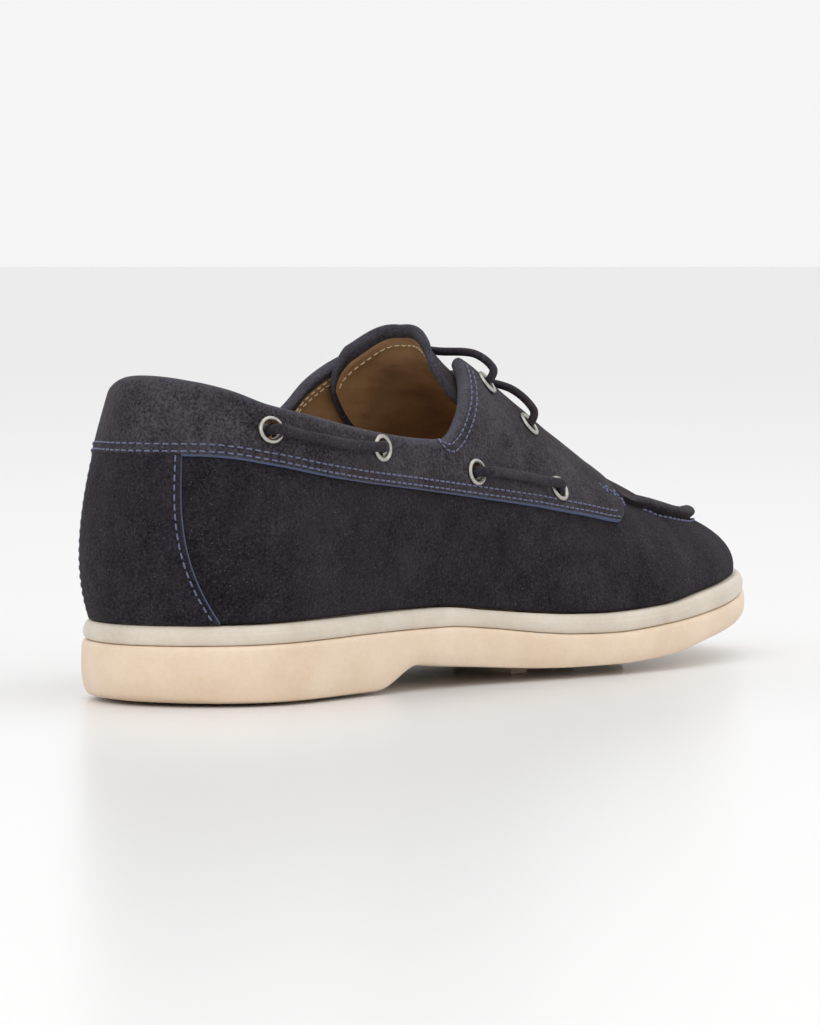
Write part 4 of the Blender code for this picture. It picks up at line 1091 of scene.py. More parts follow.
# The wall thins out under the plug's front, where all ribs end on one point of the crest
PLUG_MIDDLE = (0.2070, 0.0085, 0.0478)
THIN_WITHIN = 0.010
THINNEST = 0.02
TOP_CUT = 1.2 * MM
RIB_LENGTH = 0.09
HOLE_IN_WALL = HOLE_RADIUS - 1.0 * MM


def make_upper():
    """Ribs from the feather edge to the top line, both sides, thickened inwards into one wall."""
    t = np.concatenate([np.linspace(0.0, 9.0, 300), np.linspace(9.0, ROWS, 90)[1:]])
    share = np.linspace(0.0, 1.0, 64)
    grids = []
    for _, side in SIDES:
        line = topline_share(t, side)
        top = line - TOP_CUT / RIB_LENGTH * (line < 0.999)
        u = round_place(t, side)[:, None]
        grids.append(shell(u, top[:, None] * share[None, :], 0.0))
    grid = np.concatenate([grids[0][::-1], grids[1][1:]])
    upper = grid_mesh("upper_suede", grid, [NAVY, TAN])
    weld(upper, 0.02 * MM)
    face_out(upper)
    punch(upper, HOLE_IN_WALL)
    thick = upper.vertex_groups.new(name="thick")
    for vert in upper.data.vertices:
        away = (vert.co - Vector(PLUG_MIDDLE)).length
        thick.add([vert.index], min(max((away - THIN_WITHIN) / THIN_WITHIN, THINNEST), 1.0), "REPLACE")
    wall = upper.modifiers.new("wall", "SOLIDIFY")
    wall.vertex_group = "thick"
    wall.thickness = UPPER_WALL
    wall.offset = -1.0
    wall.material_offset = 1
    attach(upper, "root")
    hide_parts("upper")


def face_out(piece):
    """Turns an open sheet's faces away from the middle of the shoe's inside."""
    mesh = piece.data
    count = len(mesh.polygons)
    centre = np.empty(count * 3, np.float32)
    normal = np.empty(count * 3, np.float32)
    mesh.polygons.foreach_get("center", centre)
    mesh.polygons.foreach_get("normal", normal)
    middle = np.array([0.5 * SOLE_LENGTH - HEEL_SEAT, 0.0, 0.35 * INSTEP_HEIGHT])
    if ((centre.reshape(-1, 3) - middle) * normal.reshape(-1, 3)).sum() < 0.0:
        mesh.flip_normals()


make_upper()

# Heel counter. A strip of the same suede down the back of the heel, wider at the sole, sewn on
# along its two cut edges, which show the paler flesh side.

COUNTER_HALF_WIDTH_TOP = 0.0150
COUNTER_HALF_WIDTH_BOTTOM = 0.0255
COUNTER_INNER_EXTRA = 0.0100


def heel_stations_a_metre():
    """Stations for each metre round the heel's back."""
    t = np.linspace(0.0, 1.0, 21)
    plan = sole_edge(t, FEATHER_INSET)
    return 1.0 / np.linalg.norm(np.diff(plan, axis=0), axis=1).sum()


def counter_place(part, rise):
    """Round place and share of a point of the counter: part across it, rise up it."""
    flare = (1.0 - rise) ** 3
    half = COUNTER_HALF_WIDTH_TOP + flare * (COUNTER_HALF_WIDTH_BOTTOM - COUNTER_HALF_WIDTH_TOP)
    half = half + np.where(part > 0, COUNTER_INNER_EXTRA, 0.0)
    t = np.abs(part) * half * heel_stations_a_metre()
    side = np.where(part < 0, -1.0, 1.0)
    stations = np.linspace(0.0, 2.0, 60)
    outer, inner = (np.interp(t, stations, seam_share(stations, sign)) for sign in (-1.0, 1.0))
    top = np.where(side < 0, outer, inner)
    u = np.where(side < 0, t, 2 * ROWS - t)
    return u, 0.004 + (top + 0.004) * rise


def make_heel_counter():
    """A grid whose edge rows drop to the skin in a quarter circle, pale on the cut."""
    drop = np.array([0.0, 0.003, 0.007, 0.012, 0.020])
    part = np.concatenate([-1.0 + drop, np.linspace(-0.94, 0.94, 61), 1.0 - drop[::-1]])
    lift = np.array([0.02, 0.55, 0.85, 0.97, 1.0])
    lift = np.concatenate([lift, np.ones(61), lift[::-1]])
    raw = np.array([1.0, 0.9, 0.5, 0.1, 0.0])
    raw = np.concatenate([raw, np.zeros(61), raw[::-1]])
    rise = np.linspace(0.0, 1.0, 90)
    u, v = counter_place(part[:, None], rise[None, :])
    grid = shell(u, v, (GAP + OVERLAY_WALL) * lift[:, None] + 0.0 * rise[None, :])
    raw = np.broadcast_to(raw[:, None], v.shape)
    finish = suede("navy suede counter", "#0F0E12", "#38353B", "#2C2325")
    counter = grid_mesh("heel_counter_suede", grid, [finish], attributes={"raw": raw})
    face_out(counter)
    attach(counter, "root")
    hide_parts("heel_counter")


make_heel_counter()

# Collar band and side panels. One long piece of suede round the collar and forward over the
# sides, its lower edge cut raw, its top edge padded and turned over to the inside.

BAND_FRONT_LIFT = 0.0004
ROLL = 0.00185
TURNED_IN = 0.0030
THIN_FROM = 6.15
THIN_STATIONS = 0.55
TIP_CUT = 0.09
TIP_FROM = 6.05
TIP_STATIONS = 0.5


def smooth_step(share):
    """A soft step from 0 to 1: share^2 * (3 - 2 * share), share kept within 0 and 1."""
    share = np.clip(share, 0.0, 1.0)
    return share * share * (3.0 - 2.0 * share)


def front_share(t, side):
    """Share up each rib where it passes behind the side panel's front edge."""
    v = np.linspace(0.0, 1.0, FINE)
    points = skin(round_place(t, side)[:, None], v[None, :])
    front = curve_height(BAND_FRONT, 1, points[..., 2] / INSTEP_HEIGHT) * SOLE_LENGTH
    ahead = points[..., 0] - front
    found = ahead[:, ::-1] > 0.0
    last = np.where(found.any(axis=1), FINE - 1 - found.argmax(axis=1), -1)
    rows = np.arange(len(t))
    i = np.clip(last, 0, FINE - 2)
    a = ahead[rows, i]
    b = ahead[rows, i + 1]
    part = np.clip(a / np.maximum(a - b, 1e-12), 0.0, 1.0)
    return np.where(last < 0, 0.0, np.minimum((i + part) / (FINE - 1), 1.0))


def band_rise(t):
    """The band's gap over the upper, plus its lift towards the front end."""
    return GAP + BAND_FRONT_LIFT * np.clip((t - 5.9) / 0.4, 0.0, 1.0)


def make_collar_band():
    """Rows: the cut edge, the face, half a circle over the padded edge, and a little inside."""
    t = np.concatenate([np.linspace(0.0, 3.6, 170), np.linspace(3.6, 6.95, 260)[1:]])
    cut = ((0.0, 0.05), (0.0, 0.45), (0.04, 0.80), (0.16, 0.96), (0.45, 1.0))
    face = np.linspace(0.0, 1.0, 46)[1:-1]
    turn = np.linspace(0.0, math.pi, 13)
    grids = []
    rims = []
    raws = []
    for _, side in SIDES:
        u = round_place(t, side)
        top = topline_share(t, side)
        top = top - TIP_CUT * smooth_step((t - TIP_FROM) / TIP_STATIONS)
        low = np.maximum(seam_share(t, side), front_share(t, side))
        keep = low < top - 0.03
        t_kept, u, top, low = t[keep], u[keep], top[keep], low[keep]
        speed = up_speed(u, (low + top) / 2.0)
        speed_top = up_speed(u, top)
        fit = np.minimum(1.0, 0.35 * (top - low) * speed / (ROLL + 0.5 * MM))
        rise = band_rise(t_kept)
        rows = []
        rim = []
        raw = []
        for along, lift in cut:
            rows.append((low + along * MM / speed, rise + OVERLAY_WALL * lift))
            rim.append(0.0)
            raw.append(max(1.0 - along / 0.45, 0.0))
        start = low + 0.45 * MM / speed
        stop = top - ROLL * fit / speed_top
        for share in face:
            rows.append((start + (stop - start) * share, rise + OVERLAY_WALL))
            rim.append(np.clip((share - 0.93) / 0.07, 0.0, 1.0) * 0.3)
            raw.append(0.0)
        outer = rise + OVERLAY_WALL
        deep = smooth_step((THIN_FROM - t_kept) / THIN_STATIONS)
        inner = outer - 0.4 * MM - (outer - 0.4 * MM + UPPER_WALL + 0.25 * MM) * deep
        centre = (outer + inner) / 2.0
        reach = (outer - inner) / 2.0
        for angle in turn:
            v = stop + ROLL * fit * math.sin(angle) / speed_top
            rows.append((v, centre + reach * math.cos(angle)))
            rim.append(0.4 + 0.6 * math.sin(angle))
            raw.append(0.0)
        for share in (0.4, 0.8, 1.0):
            v = stop - TURNED_IN * fit * share / speed_top
            rows.append((v, inner + (0.2 * MM if share == 1.0 else 0.0) * deep))
            rim.append(0.25)
            raw.append(0.0)
        v = np.stack([r[0] for r in rows], axis=1)
        lift = np.stack([np.broadcast_to(r[1], u.shape) for r in rows], axis=1)
        grids.append(shell(u[:, None] + 0.0 * v, v, lift))
        rims.append(np.broadcast_to(rim, v.shape))
        raws.append(np.broadcast_to(raw, v.shape))
    grid = np.concatenate([grids[0][::-1], grids[1][1:]])
    rim = np.concatenate([rims[0][::-1], rims[1][1:]])
    raw = np.concatenate([raws[0][::-1], raws[1][1:]])
    # Painted light: the same navy suede as the upper's, in a lighter copy, so the collar band reads brighter
    # than the darker sides below it
    finish = suede("navy suede band", "#1B191D", "#514D53", "#382D2F")
    band = grid_mesh("collar_band_suede", grid, [finish], attributes={"rim": rim, "raw": raw})
    face_out(band)
    punch(band, HOLE_RADIUS - 0.8 * MM)
    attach(band, "root")
    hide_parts("collar_band")


make_collar_band()

# Apron. The plug of suede over the toes. Its edge stands up in a rounded lip, hand sewn to the
# vamp along the lip's foot, and the plug lies flat inside it.

APRON_HALF_WIDTH_OUTER = 0.033
APRON_HALF_WIDTH_INNER = 0.030
APRON_ROUNDNESS = 2.6
APRON_START = 0.2085
APRON_REAR = 0.2000
LIP_FADE = 0.012
LIP_SHARE_OUTER = 0.75
LIP_SHARE_INNER = 1.25
REAR_ROUNDING = 0.0014
REAR_DEPTH = 0.0008
APRON_FRONT = 0.268
LIP_HEIGHT = 0.0040
LIP_WIDTH = 0.0038
APRON_PROFILE = (
    # distance in, height
    (0.0002, -0.0006),
    (0.0, 0.0003),
    (-0.00035, 0.0011),
    (-0.0006, 0.0021),
    (-0.0003, 0.0031),
    (0.0005, 0.0038),
    (0.0015, 0.0040),
    (0.0025, 0.0036),
    (0.0032, 0.0028),
    (0.0038, 0.0021),
    (0.0052, 0.0017),
    (0.0070, 0.0017),
)


def apron_share(t, side):
    """Share up each rib where it meets the apron's rounded outline."""
    centre = crest_across(APRON_START + 0.3 * (APRON_FRONT - APRON_START))

    def kept(points):
        reach = (points[..., 0] - APRON_START) / (APRON_FRONT - APRON_START)
        reach = np.clip(reach, 0.0, 2.0)
        across = points[..., 1] - centre
        half = np.where(across < 0.0, APRON_HALF_WIDTH_OUTER, APRON_HALF_WIDTH_INNER)
        across = np.abs(across) / half
        return np.sqrt(reach**APRON_ROUNDNESS + across**APRON_ROUNDNESS) - 1.0

    return first_share(t, side, kept)


def station_over(x):
    """Station whose rib ends at x on the crest."""
    t = np.linspace(4.0, ROWS, 400)
    return np.interp(x, closed_spline(RIBS, t)[:, 0], t)


def make_apron():
    """Rows across the lip on a smooth profile, with a gathered ripple, then on to the crest."""
    t = np.concatenate([np.linspace(station_over(APRON_REAR), 9.0, 150), np.linspace(9.0, ROWS, 160)[1:]])
    profile = rounded([np.array([[d, h]]) for d, h in APRON_PROFILE], 3)[0]
    inwards = np.linspace(0.0, 1.0, 26)[1:]
    grids = []
    rims = []
    for _, side in SIDES:
        edge = apron_share(t, side)
        u = round_place(t, side)
        speed = up_speed(u, edge)
        reach = (1.0 - edge) * speed
        fit = np.minimum(1.0, 0.85 * reach / (1.8 * LIP_WIDTH))
        run = np.concatenate([[0.0], np.cumsum(np.linalg.norm(np.diff(skin(u, edge), axis=0), axis=1))])
        ripple = 0.14 * MM * np.sin(2.0 * math.pi * run / (4.2 * MM))
        behind = skin(u, 1.0 + 0.0 * u)[:, 0] - APRON_REAR
        lip = smooth_step((behind - 0.003) / LIP_FADE)
        toe = smooth_step((t - 9.6) / 1.2)
        lip = lip * (toe + (1.0 - toe) * (LIP_SHARE_OUTER if side < 0 else LIP_SHARE_INNER))
        close = np.sqrt(1.0 - np.clip(1.0 - behind / REAR_ROUNDING, 0.0, 1.0) ** 2)
        rows = []
        rim = []
        for distance, height in profile:
            v = np.minimum(edge + distance * fit / speed, 1.0)
            flat = np.minimum(height, profile[-1][1])
            tall = flat + (height - flat) * lip + ripple * lip * np.clip(height / LIP_HEIGHT, 0.0, 1.0)
            rows.append((v, (tall + REAR_DEPTH) * close - REAR_DEPTH))
            rim.append(0.5 * np.clip((height - 0.0028) / 0.0012, 0.0, 1.0))
        last = np.minimum(edge + profile[-1][0] * fit / speed, 1.0)
        for share in inwards:
            rows.append((last + (1.0 - last) * share, (profile[-1][1] + REAR_DEPTH) * close - REAR_DEPTH))
            rim.append(0.0)
        v = np.stack([r[0] for r in rows], axis=1)
        lift = np.stack([r[1] for r in rows], axis=1)
        grids.append(shell(u[:, None] + 0.0 * v, v, lift))
        rims.append(np.broadcast_to(rim, v.shape))
    grid = np.concatenate([grids[0], grids[1][::-1]])
    rim = np.concatenate([rims[0], rims[1][::-1]])
    finish = suede("navy suede apron", "#151317", "#3B373C", "#2E2425")
    apron = grid_mesh("apron_suede", grid, [finish], attributes={"rim": rim})
    weld(apron, 0.02 * MM)
    face_out(apron)
    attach(apron, "root")
    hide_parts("apron")


make_apron()

# Tongue. A thick tongue of suede lined with tan leather. Its free end arches up between the
# wings, its middle sinks under the laces and its front end goes under the vamp.

TONGUE_WALL = 0.0024
TONGUE_GAP = 0.0013
TONGUE_CORNER = 0.011
TONGUE_FLARE = 0.0052
TONGUE_FLARE_SHARE = 0.085
TONGUE_RIM_SHARE = 0.03
TONGUE_START = 0.127
TONGUE_END = 0.214
TONGUE_ROLL = 0.0022
TONGUE_TRIM = 0.007
TONGUE_TRIM_SHARE = 0.16
TONGUE_EDGE = (
    # along, height
    (0.380, 0.935),
    (0.403, 0.925),
    (0.425, 0.850),
    (0.450, 0.770),
    (0.485, 0.700),
    (0.545, 0.620),
    (0.610, 0.560),
    (0.660, 0.520),
    (0.730, 0.490),
)

TONGUE_SINK = (
    # share of its length, depth
    (0.00, 0.0000),
    (0.05, 0.0010),
    (0.11, 0.0035),
    (0.21, 0.0058),
    (0.35, 0.0065),
    (0.60, 0.0040),
    (0.85, 0.0000),
    (1.00, 0.0000),
)


def tongue_share(t, side):
    """Share up each rib where it passes the tongue's side edge."""
    def kept(points):
        edge = curve_height(TONGUE_EDGE, 1, points[..., 0] / SOLE_LENGTH) * INSTEP_HEIGHT
        return edge - points[..., 2]

    return first_share(t, side, kept)


def tongue_middle(part, rise, side):
    """The tongue's middle sheet and its normal: part along it, rise from side edge to crest."""
    depth = UPPER_WALL + TONGUE_GAP + TONGUE_WALL / 2.0
    part = part[:, None] + 0.0 * rise[None, :]
    rise = rise[None, :] + 0.0 * part
    middle = smooth_step((rise - 0.2) / 0.8)
    sink = curve_height(TONGUE_SINK, 1, part) * middle
    flare = TONGUE_FLARE * np.clip(1.0 - part / TONGUE_FLARE_SHARE, 0.0, 1.0) ** 1.3
    flare = flare * smooth_step(rise / 0.3)
    begin = TONGUE_START - TONGUE_CORNER * (1.0 - rise) ** 1.2
    trim = np.clip(1.0 - rise / TONGUE_TRIM_SHARE, 0.0, 1.0)
    begin = begin + TONGUE_TRIM * (1.0 - np.sqrt(1.0 - trim**2))
    along = begin + (TONGUE_END - begin) * part
    own = station_at(along, side)
    shared = (station_at(along, -1.0) + station_at(along, 1.0)) / 2.0
    t = own + (shared - own) * smooth_step((rise - 0.35) / 0.65)
    stations = np.linspace(3.0, 9.0, 300)
    low = np.interp(t, stations, tongue_share(stations, side))
    v = low + (1.0 - low) * rise
    u = round_place(t, side)
    normal = skin_normal(u, v)
    steep = (1.0 - middle) * normal[..., 2] * np.minimum(part / TONGUE_RIM_SHARE, 1.0)
    lift = (np.array([0.0, 0.0, 1.0]) - normal * steep[..., None]) * flare[..., None]
    lift[..., 2] -= sink
    return in_frame(skin_at(u, v, -depth) + lift), normal


def make_tongue():
    """Two sheets either side of the middle one, that close in a half circle round the edge."""
    edge = TONGUE_ROLL * (1.0 - np.cos(np.linspace(0.0, math.pi / 2.0, 9)))
    part = np.concatenate([edge / 0.087, np.linspace(0.029, 1.0, 98)])
    rise = np.concatenate([edge / 0.050, np.linspace(0.0, 1.0, 60)[4:]])
    sheets = [tongue_middle(part, rise, side) for _, side in SIDES]
    middle = np.concatenate([sheets[0][0], sheets[1][0][:, ::-1][:, 1:]], axis=1)
    normal = np.concatenate([sheets[0][1], sheets[1][1][:, ::-1][:, 1:]], axis=1)
    steps = np.linalg.norm(np.diff(middle, axis=0), axis=-1)
    down = np.concatenate([np.zeros((1,) + middle.shape[1:2]), steps])
    from_end = np.cumsum(down, axis=0)
    over = np.linalg.norm(np.diff(middle, axis=1), axis=-1)
    walked = np.concatenate([np.zeros((len(part), 1)), np.cumsum(over, axis=1)], axis=1)
    away = np.minimum(from_end, np.minimum(walked, walked[:, -1:] - walked))
    near = np.clip(1.0 - away / TONGUE_ROLL, 0.0, 1.0)
    half = (TONGUE_WALL / 2.0 + 0.25 * MM * np.exp(-((away / (2.2 * MM)) ** 2))) * np.sqrt(1.0 - near**2)
    top = middle + normal * half[..., None]
    under = middle - normal * half[..., None]
    grid = np.concatenate([top, under[:, ::-1]], axis=1)
    rim = 0.9 * np.exp(-((away / (1.6 * MM)) ** 2))
    rim = np.concatenate([rim, rim[:, ::-1]], axis=1)
    lining = np.zeros(away.shape)
    lining[7:, 7:-8] = 1.0
    tan = np.concatenate([np.zeros(away.shape), lining], axis=1).astype(int)
    finish = suede("navy suede tongue", "#1A181B", "#454147", "#2F2628")
    tongue = grid_mesh("tongue_suede", grid, [finish, TAN], slots=tan, attributes={"rim": rim})
    weld(tongue, 0.005 * MM)
    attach(tongue, "root")
    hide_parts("tongue")


make_tongue()

# Eyelets. Twelve rolled rings of brushed nickel set through band and upper, each with a barrel
# that goes through to the inside.

EYELET_RADIUS = 0.0040
EYELET_BORE = 0.0027
EYELET_WALL = 0.0004
EYELET_LIP = 0.0008
EYELET_SIDES = 48
LAYERS = UPPER_WALL + GAP + OVERLAY_WALL


def brushed_metal(name, colour, roughness):
    """Nickel plate: clear reflections broken by fine dull spots in its roughness and tone."""
    finish, tree, shader = new_finish(name, {"Metallic": 1.0, "Roughness": roughness, "IOR": 1.5})
    place = add_node(tree, "ShaderNodeTexCoord")
    here = add_node(tree, "ShaderNodeMapping", {"Scale": (1000.0,) * 3}, {"Vector": place.outputs["Object"]})
    spot = {"Vector": here.outputs["Vector"]}
    spots = add_node(tree, "ShaderNodeTexNoise", {"Scale": 1 / 1.1, "Detail": 3.0}, spot)
    dull = add_node(
        tree,
        "ShaderNodeMapRange",
        {"To Min": roughness - 0.08, "To Max": roughness + 0.22},
        {"Value": spots.outputs["Fac"]},
    )
    tree.links.new(dull.outputs["Result"], shader.inputs["Roughness"])
    shade = add_node(tree, "ShaderNodeValToRGB", None, {"Fac": spots.outputs["Fac"]})
    shade.color_ramp.elements[0].color = linear("#8E8A84")
    shade.color_ramp.elements[1].color = linear(colour)
    tree.links.new(shade.outputs["Color"], shader.inputs["Base Color"])
    return finish


def make_eyelets():
    """Each ring is a profile of radius and height turned about the eyelet's axis."""
    # Nickel, roughness 0.3
    finish = brushed_metal("nickel", "#D8D4CC", 0.32)
    barrel = EYELET_BORE + EYELET_WALL
    arc = np.linspace(0.0, math.pi, 13)
    centre = (EYELET_RADIUS + EYELET_BORE) / 2.0
    half = (EYELET_RADIUS - EYELET_BORE) / 2.0
    radius = np.concatenate([[barrel, barrel], centre + half * np.cos(arc), [EYELET_BORE, barrel]])
    crown = GAP * 0.5 + 1.15 * EYELET_LIP * np.sin(arc) ** 0.8
    height = np.concatenate([[-LAYERS, GAP * 0.5], crown, [-LAYERS, -LAYERS]])
    angle = 2.0 * math.pi * np.arange(EYELET_SIDES) / EYELET_SIDES
    for name, (place, normal, _, _) in PLACES.items():
        axis = Vector(normal).to_track_quat("Z", "Y").to_matrix()
        across = np.array(axis.col[0])
        up = np.array(axis.col[1])
        round_way = np.cos(angle)[:, None] * across + np.sin(angle)[:, None] * up
        grid = place + round_way[:, None, :] * radius[None, :, None] + normal * height[None, :, None]
        ring_piece = grid_mesh(f"ring_{name}", grid, [finish], closed=True)
        weld(ring_piece, 0.002 * MM)
        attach(ring_piece, "root")
        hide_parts(f"eyelet_{name}")


make_eyelets()

# Laces. Dark waxed leather cord, pressed a little flat, threaded through the side eyelets in
# two runs a side and over the throat in two bars.

LACE_RADIUS = 0.0015
LACE_SIDES = 20
BAR_SINK = 0.0078
BAR_RISES = (
    # share of the way from the eyelet to the crest, rise over the band
    (0.07, 0.0007),
    (0.30, -0.0010),
    (0.62, -0.0068),
)


def smooth_path(knots, steps):
    """Points along a smooth curve through the knots, ends kept."""
    return rounded([np.array([k]) for k in knots], steps)[0]


def tube(name, path, radius, sides, finish, flat=1.0, out=None):
    """A closed round tube along a path, flattened across the directions given as out."""
    run = np.gradient(path, axis=0)
    run /= np.linalg.norm(run, axis=1, keepdims=True)
    if out is None:
        out = np.zeros(path.shape)
        out[:, 2] = 1.0
    up = out - run * (out * run).sum(axis=1, keepdims=True)
    for i in range(len(up)):
        if np.linalg.norm(up[i]) < 0.35 and i > 0:
            up[i] = up[i - 1] - run[i] * (up[i - 1] @ run[i])
        up[i] /= np.linalg.norm(up[i])
    beside = np.cross(run, up)
    angle = 2.0 * math.pi * np.arange(sides) / sides
    cap = np.sin(np.linspace(0.0, math.pi / 2.0, 5))
    size = np.ones(len(path))
    size[:5] = np.maximum(cap, 0.02)
    size[-5:] = np.maximum(cap[::-1], 0.02)
    spoke = beside[None] * np.cos(angle)[:, None, None] + flat * up[None] * np.sin(angle)[:, None, None]
    grid = path[None] + spoke * (radius * size)[None, :, None]
    piece = grid_mesh(name, grid, [finish], closed=True)
    weld(piece, 0.001 * MM)
    return piece


def lace_knots(start, end):
    """From inside one eyelet, over its lip, along the band and into the next eyelet."""
    (a, na, ua, va), (b, nb, ub, vb) = start, end
    length = np.linalg.norm(b - a)
    run = (b - a) / length
    over = GAP + EYELET_LIP + GAP + LACE_RADIUS
    low = GAP + 0.1 * MM + LACE_RADIUS
    knots = [a - na * 1.9 * MM - run * 0.6 * MM, a + na * 0.6 * MM + run * 0.2 * MM]
    knots.append(a + na * (over + 0.4 * MM) + run * 2.4 * MM)
    ends = [na, na, na]
    near = 5.4 * MM / length
    for share in (near, 0.3, 0.5, 0.7, 1.0 - near):
        u = ua + (ub - ua) * share
        v = va + (vb - va) * share
        normal = skin_normal(u, v)
        rise = over - 0.2 * MM if share in (near, 1.0 - near) else low
        knots.append(shell(u, v, GAP + OVERLAY_WALL + rise))
        ends.append(normal)
    knots.append(b + nb * (over + 0.4 * MM) - run * 2.4 * MM)
    knots += [b + nb * 0.6 * MM - run * 0.2 * MM, b - nb * 1.9 * MM + run * 0.6 * MM]
    return knots, ends + [nb, nb, nb]


def bar_knots(outer, inner):
    """Over the throat from one side's eyelet to the other's, clear of the wings and the tongue."""
    over = GAP + OVERLAY_WALL + BAND_FRONT_LIFT + GAP + EYELET_LIP + GAP + LACE_RADIUS
    halves = []
    ways = []
    for place, axis, u, v in (outer, inner):
        knots = [place - axis * 1.6 * MM, place + axis * 0.9 * MM]
        way = [axis, axis]
        for share, rise in BAR_RISES:
            at_share = v + (1.0 - v) * share
            knots.append(in_frame(skin_at(u, at_share, over + rise)))
            way.append(skin_normal(u, at_share))
        halves.append(knots)
        ways.append(way)
    tops = [in_frame(skin_at(u, 1.0, over - BAR_SINK)) for _, _, u, _ in (outer, inner)]
    up = np.array([0.0, 0.0, 1.0])
    return halves[0] + [(tops[0] + tops[1]) / 2.0] + halves[1][::-1], ways[0] + [up] + ways[1][::-1]


def make_laces():
    """Four side runs between neighbouring eyelets, and two bars over the throat."""
    # Waxed leather cord, IOR 1.5, roughness 0.6
    finish = suede("waxed navy cord", "#1C1A1F", "#3D3A42", "#2E2528")
    finish.node_tree.nodes["Principled BSDF"].inputs["Roughness"].default_value = 0.62
    runs = []
    for label, _ in SIDES:
        for run, start, end in (
            ("rear", "heel_rear", "heel_front"),
            ("front", "side_rear", "side_front"),
        ):
            knots = lace_knots(PLACES[f"{label}_{start}"], PLACES[f"{label}_{end}"])
            runs.append((f"lace_{label}_{run}", knots))
    for name in ("throat_top", "throat_low"):
        knots = bar_knots(PLACES[f"outer_{name}"], PLACES[f"inner_{name}"])
        runs.append((f"lace_bar_{name}", knots))
    for name, (knots, ways) in runs:
        path = smooth_path(knots, 12)
        out = smooth_path(ways, 12)
        lace = tube(f"{name}_cord", path, LACE_RADIUS, LACE_SIDES, finish, 0.80, out)
        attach(lace, "root")
        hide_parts(name)


make_laces()

# Stitches. Waxed thread in short stitches that dip into the suede at both ends: blue rows along
# the band, the counter, the wings and the plug, and cream rows along the lining.

THREAD_RADIUS = 0.00025
STITCH_PITCH = 0.0026
STITCH_SHARE = 0.76


def thread(name, pale, deep):
    """Twisted thread: fine slanting bands of two tones and a matching bump."""
    # Waxed polyester thread, IOR 1.5, roughness 0.7
    finish, tree, shader = new_finish(name, {"Roughness": 0.7, "IOR": 1.5, "Sheen Weight": 0.2})
    place = add_node(tree, "ShaderNodeTexCoord")
    here = add_node(tree, "ShaderNodeMapping", {"Scale": (1000.0,) * 3}, {"Vector": place.outputs["Object"]})
    twist = add_node(
        tree,
        "ShaderNodeTexWave",
        {"Scale": 1.2, "Distortion": 1.5},
        {"Vector": here.outputs["Vector"]},
        bands_direction="DIAGONAL",
    )
    shade = add_node(tree, "ShaderNodeValToRGB", None, {"Fac": twist.outputs["Fac"]})
    shade.color_ramp.elements[0].color = linear(deep)
    shade.color_ramp.elements[1].color = linear(pale)
    tree.links.new(shade.outputs["Color"], shader.inputs["Base Color"])
    bump = add_node(
        tree, "ShaderNodeBump", {"Strength": 0.4, "Distance": 0.0001}, {"Height": twist.outputs["Fac"]}
    )
    tree.links.new(bump.outputs["Normal"], shader.inputs["Normal"])
    return finish


def stitch_row(path, out, pitch, radius):
    """Points and faces of one row: a small arched tube for each stitch, by length of path."""
    run = np.concatenate([[0.0], np.cumsum(np.linalg.norm(np.diff(path, axis=0), axis=1))])
    count = max(int(run[-1] / pitch), 1)
    pitch = run[-1] / count
    s = np.linspace(-1.0, 1.0, 7)
    where = (np.arange(count) + 0.5)[:, None] * pitch + s[None, :] * pitch * STITCH_SHARE / 2.0
    flat = where.ravel()
    centre = np.stack([np.interp(flat, run, path[:, k]) for k in range(3)], axis=1)
    normal = np.stack([np.interp(flat, run, out[:, k]) for k in range(3)], axis=1)
    normal /= np.linalg.norm(normal, axis=1, keepdims=True)
    ahead = np.stack([np.interp(flat + 0.1 * MM, run, path[:, k]) for k in range(3)], axis=1)
    behind = np.stack([np.interp(flat - 0.1 * MM, run, path[:, k]) for k in range(3)], axis=1)
    forward = ahead - behind
    forward /= np.maximum(np.linalg.norm(forward, axis=1, keepdims=True), 1e-12)
    beside = np.cross(forward, normal)
    arch = np.tile(0.75 - 1.35 * s**4, count) * radius
    centre = centre + normal * arch[:, None]
    thick = np.tile(np.sqrt(1.0 - 0.93 * s**8), count) * radius
    angle = 2.0 * math.pi * np.arange(6) / 6.0
    spoke = beside[:, None] * np.cos(angle)[None, :, None] + normal[:, None] * np.sin(angle)[None, :, None]
    points = (centre[:, None] + spoke * thick[:, None, None]).reshape(-1, 3)
    base = np.arange(count)[:, None, None] * 42 + np.arange(6)[None, :, None] * 6
    k = np.arange(6)[None, None, :]
    quads = np.stack([base + k, base + (k + 1) % 6, base + 6 + (k + 1) % 6, base + 6 + k], axis=-1)
    return points, quads.reshape(-1, 4)


def stitches(name, rows, finish, pitch=STITCH_PITCH, radius=THREAD_RADIUS):
    """One piece from several rows, each a path of points with their outward directions."""
    points = []
    faces = []
    total = 0
    for path, out in rows:
        found, quads = stitch_row(path, out, pitch, radius)
        points.append(found)
        faces.append(quads + total)
        total += len(found)
    piece = faces_mesh(name, np.concatenate(points), np.concatenate(faces), [finish])
    work = bmesh.new()
    work.from_mesh(piece.data)
    bmesh.ops.recalc_face_normals(work, faces=work.faces)
    work.to_mesh(piece.data)
    work.free()
    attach(piece, "root")
    return piece


def on_shell(u, v, lift):
    """Places on the skin, raised by lift, with the directions that face outwards there."""
    return shell(u, v, lift), skin_normal(u, v)


BAND_FACE = GAP + OVERLAY_WALL
SEAM_ROWS = (0.0012, 0.0032)
WING_ROWS = (0.0024, 0.0048)
# Where the wing's rows turn at the notch and end at the throat, outer side and inner side, along the sole
WING_NOTCH = (0.345, 0.343)
WING_TIP = (0.437, 0.425)
WING_RUN_IN = 0.014
WING_TURN = 0.022


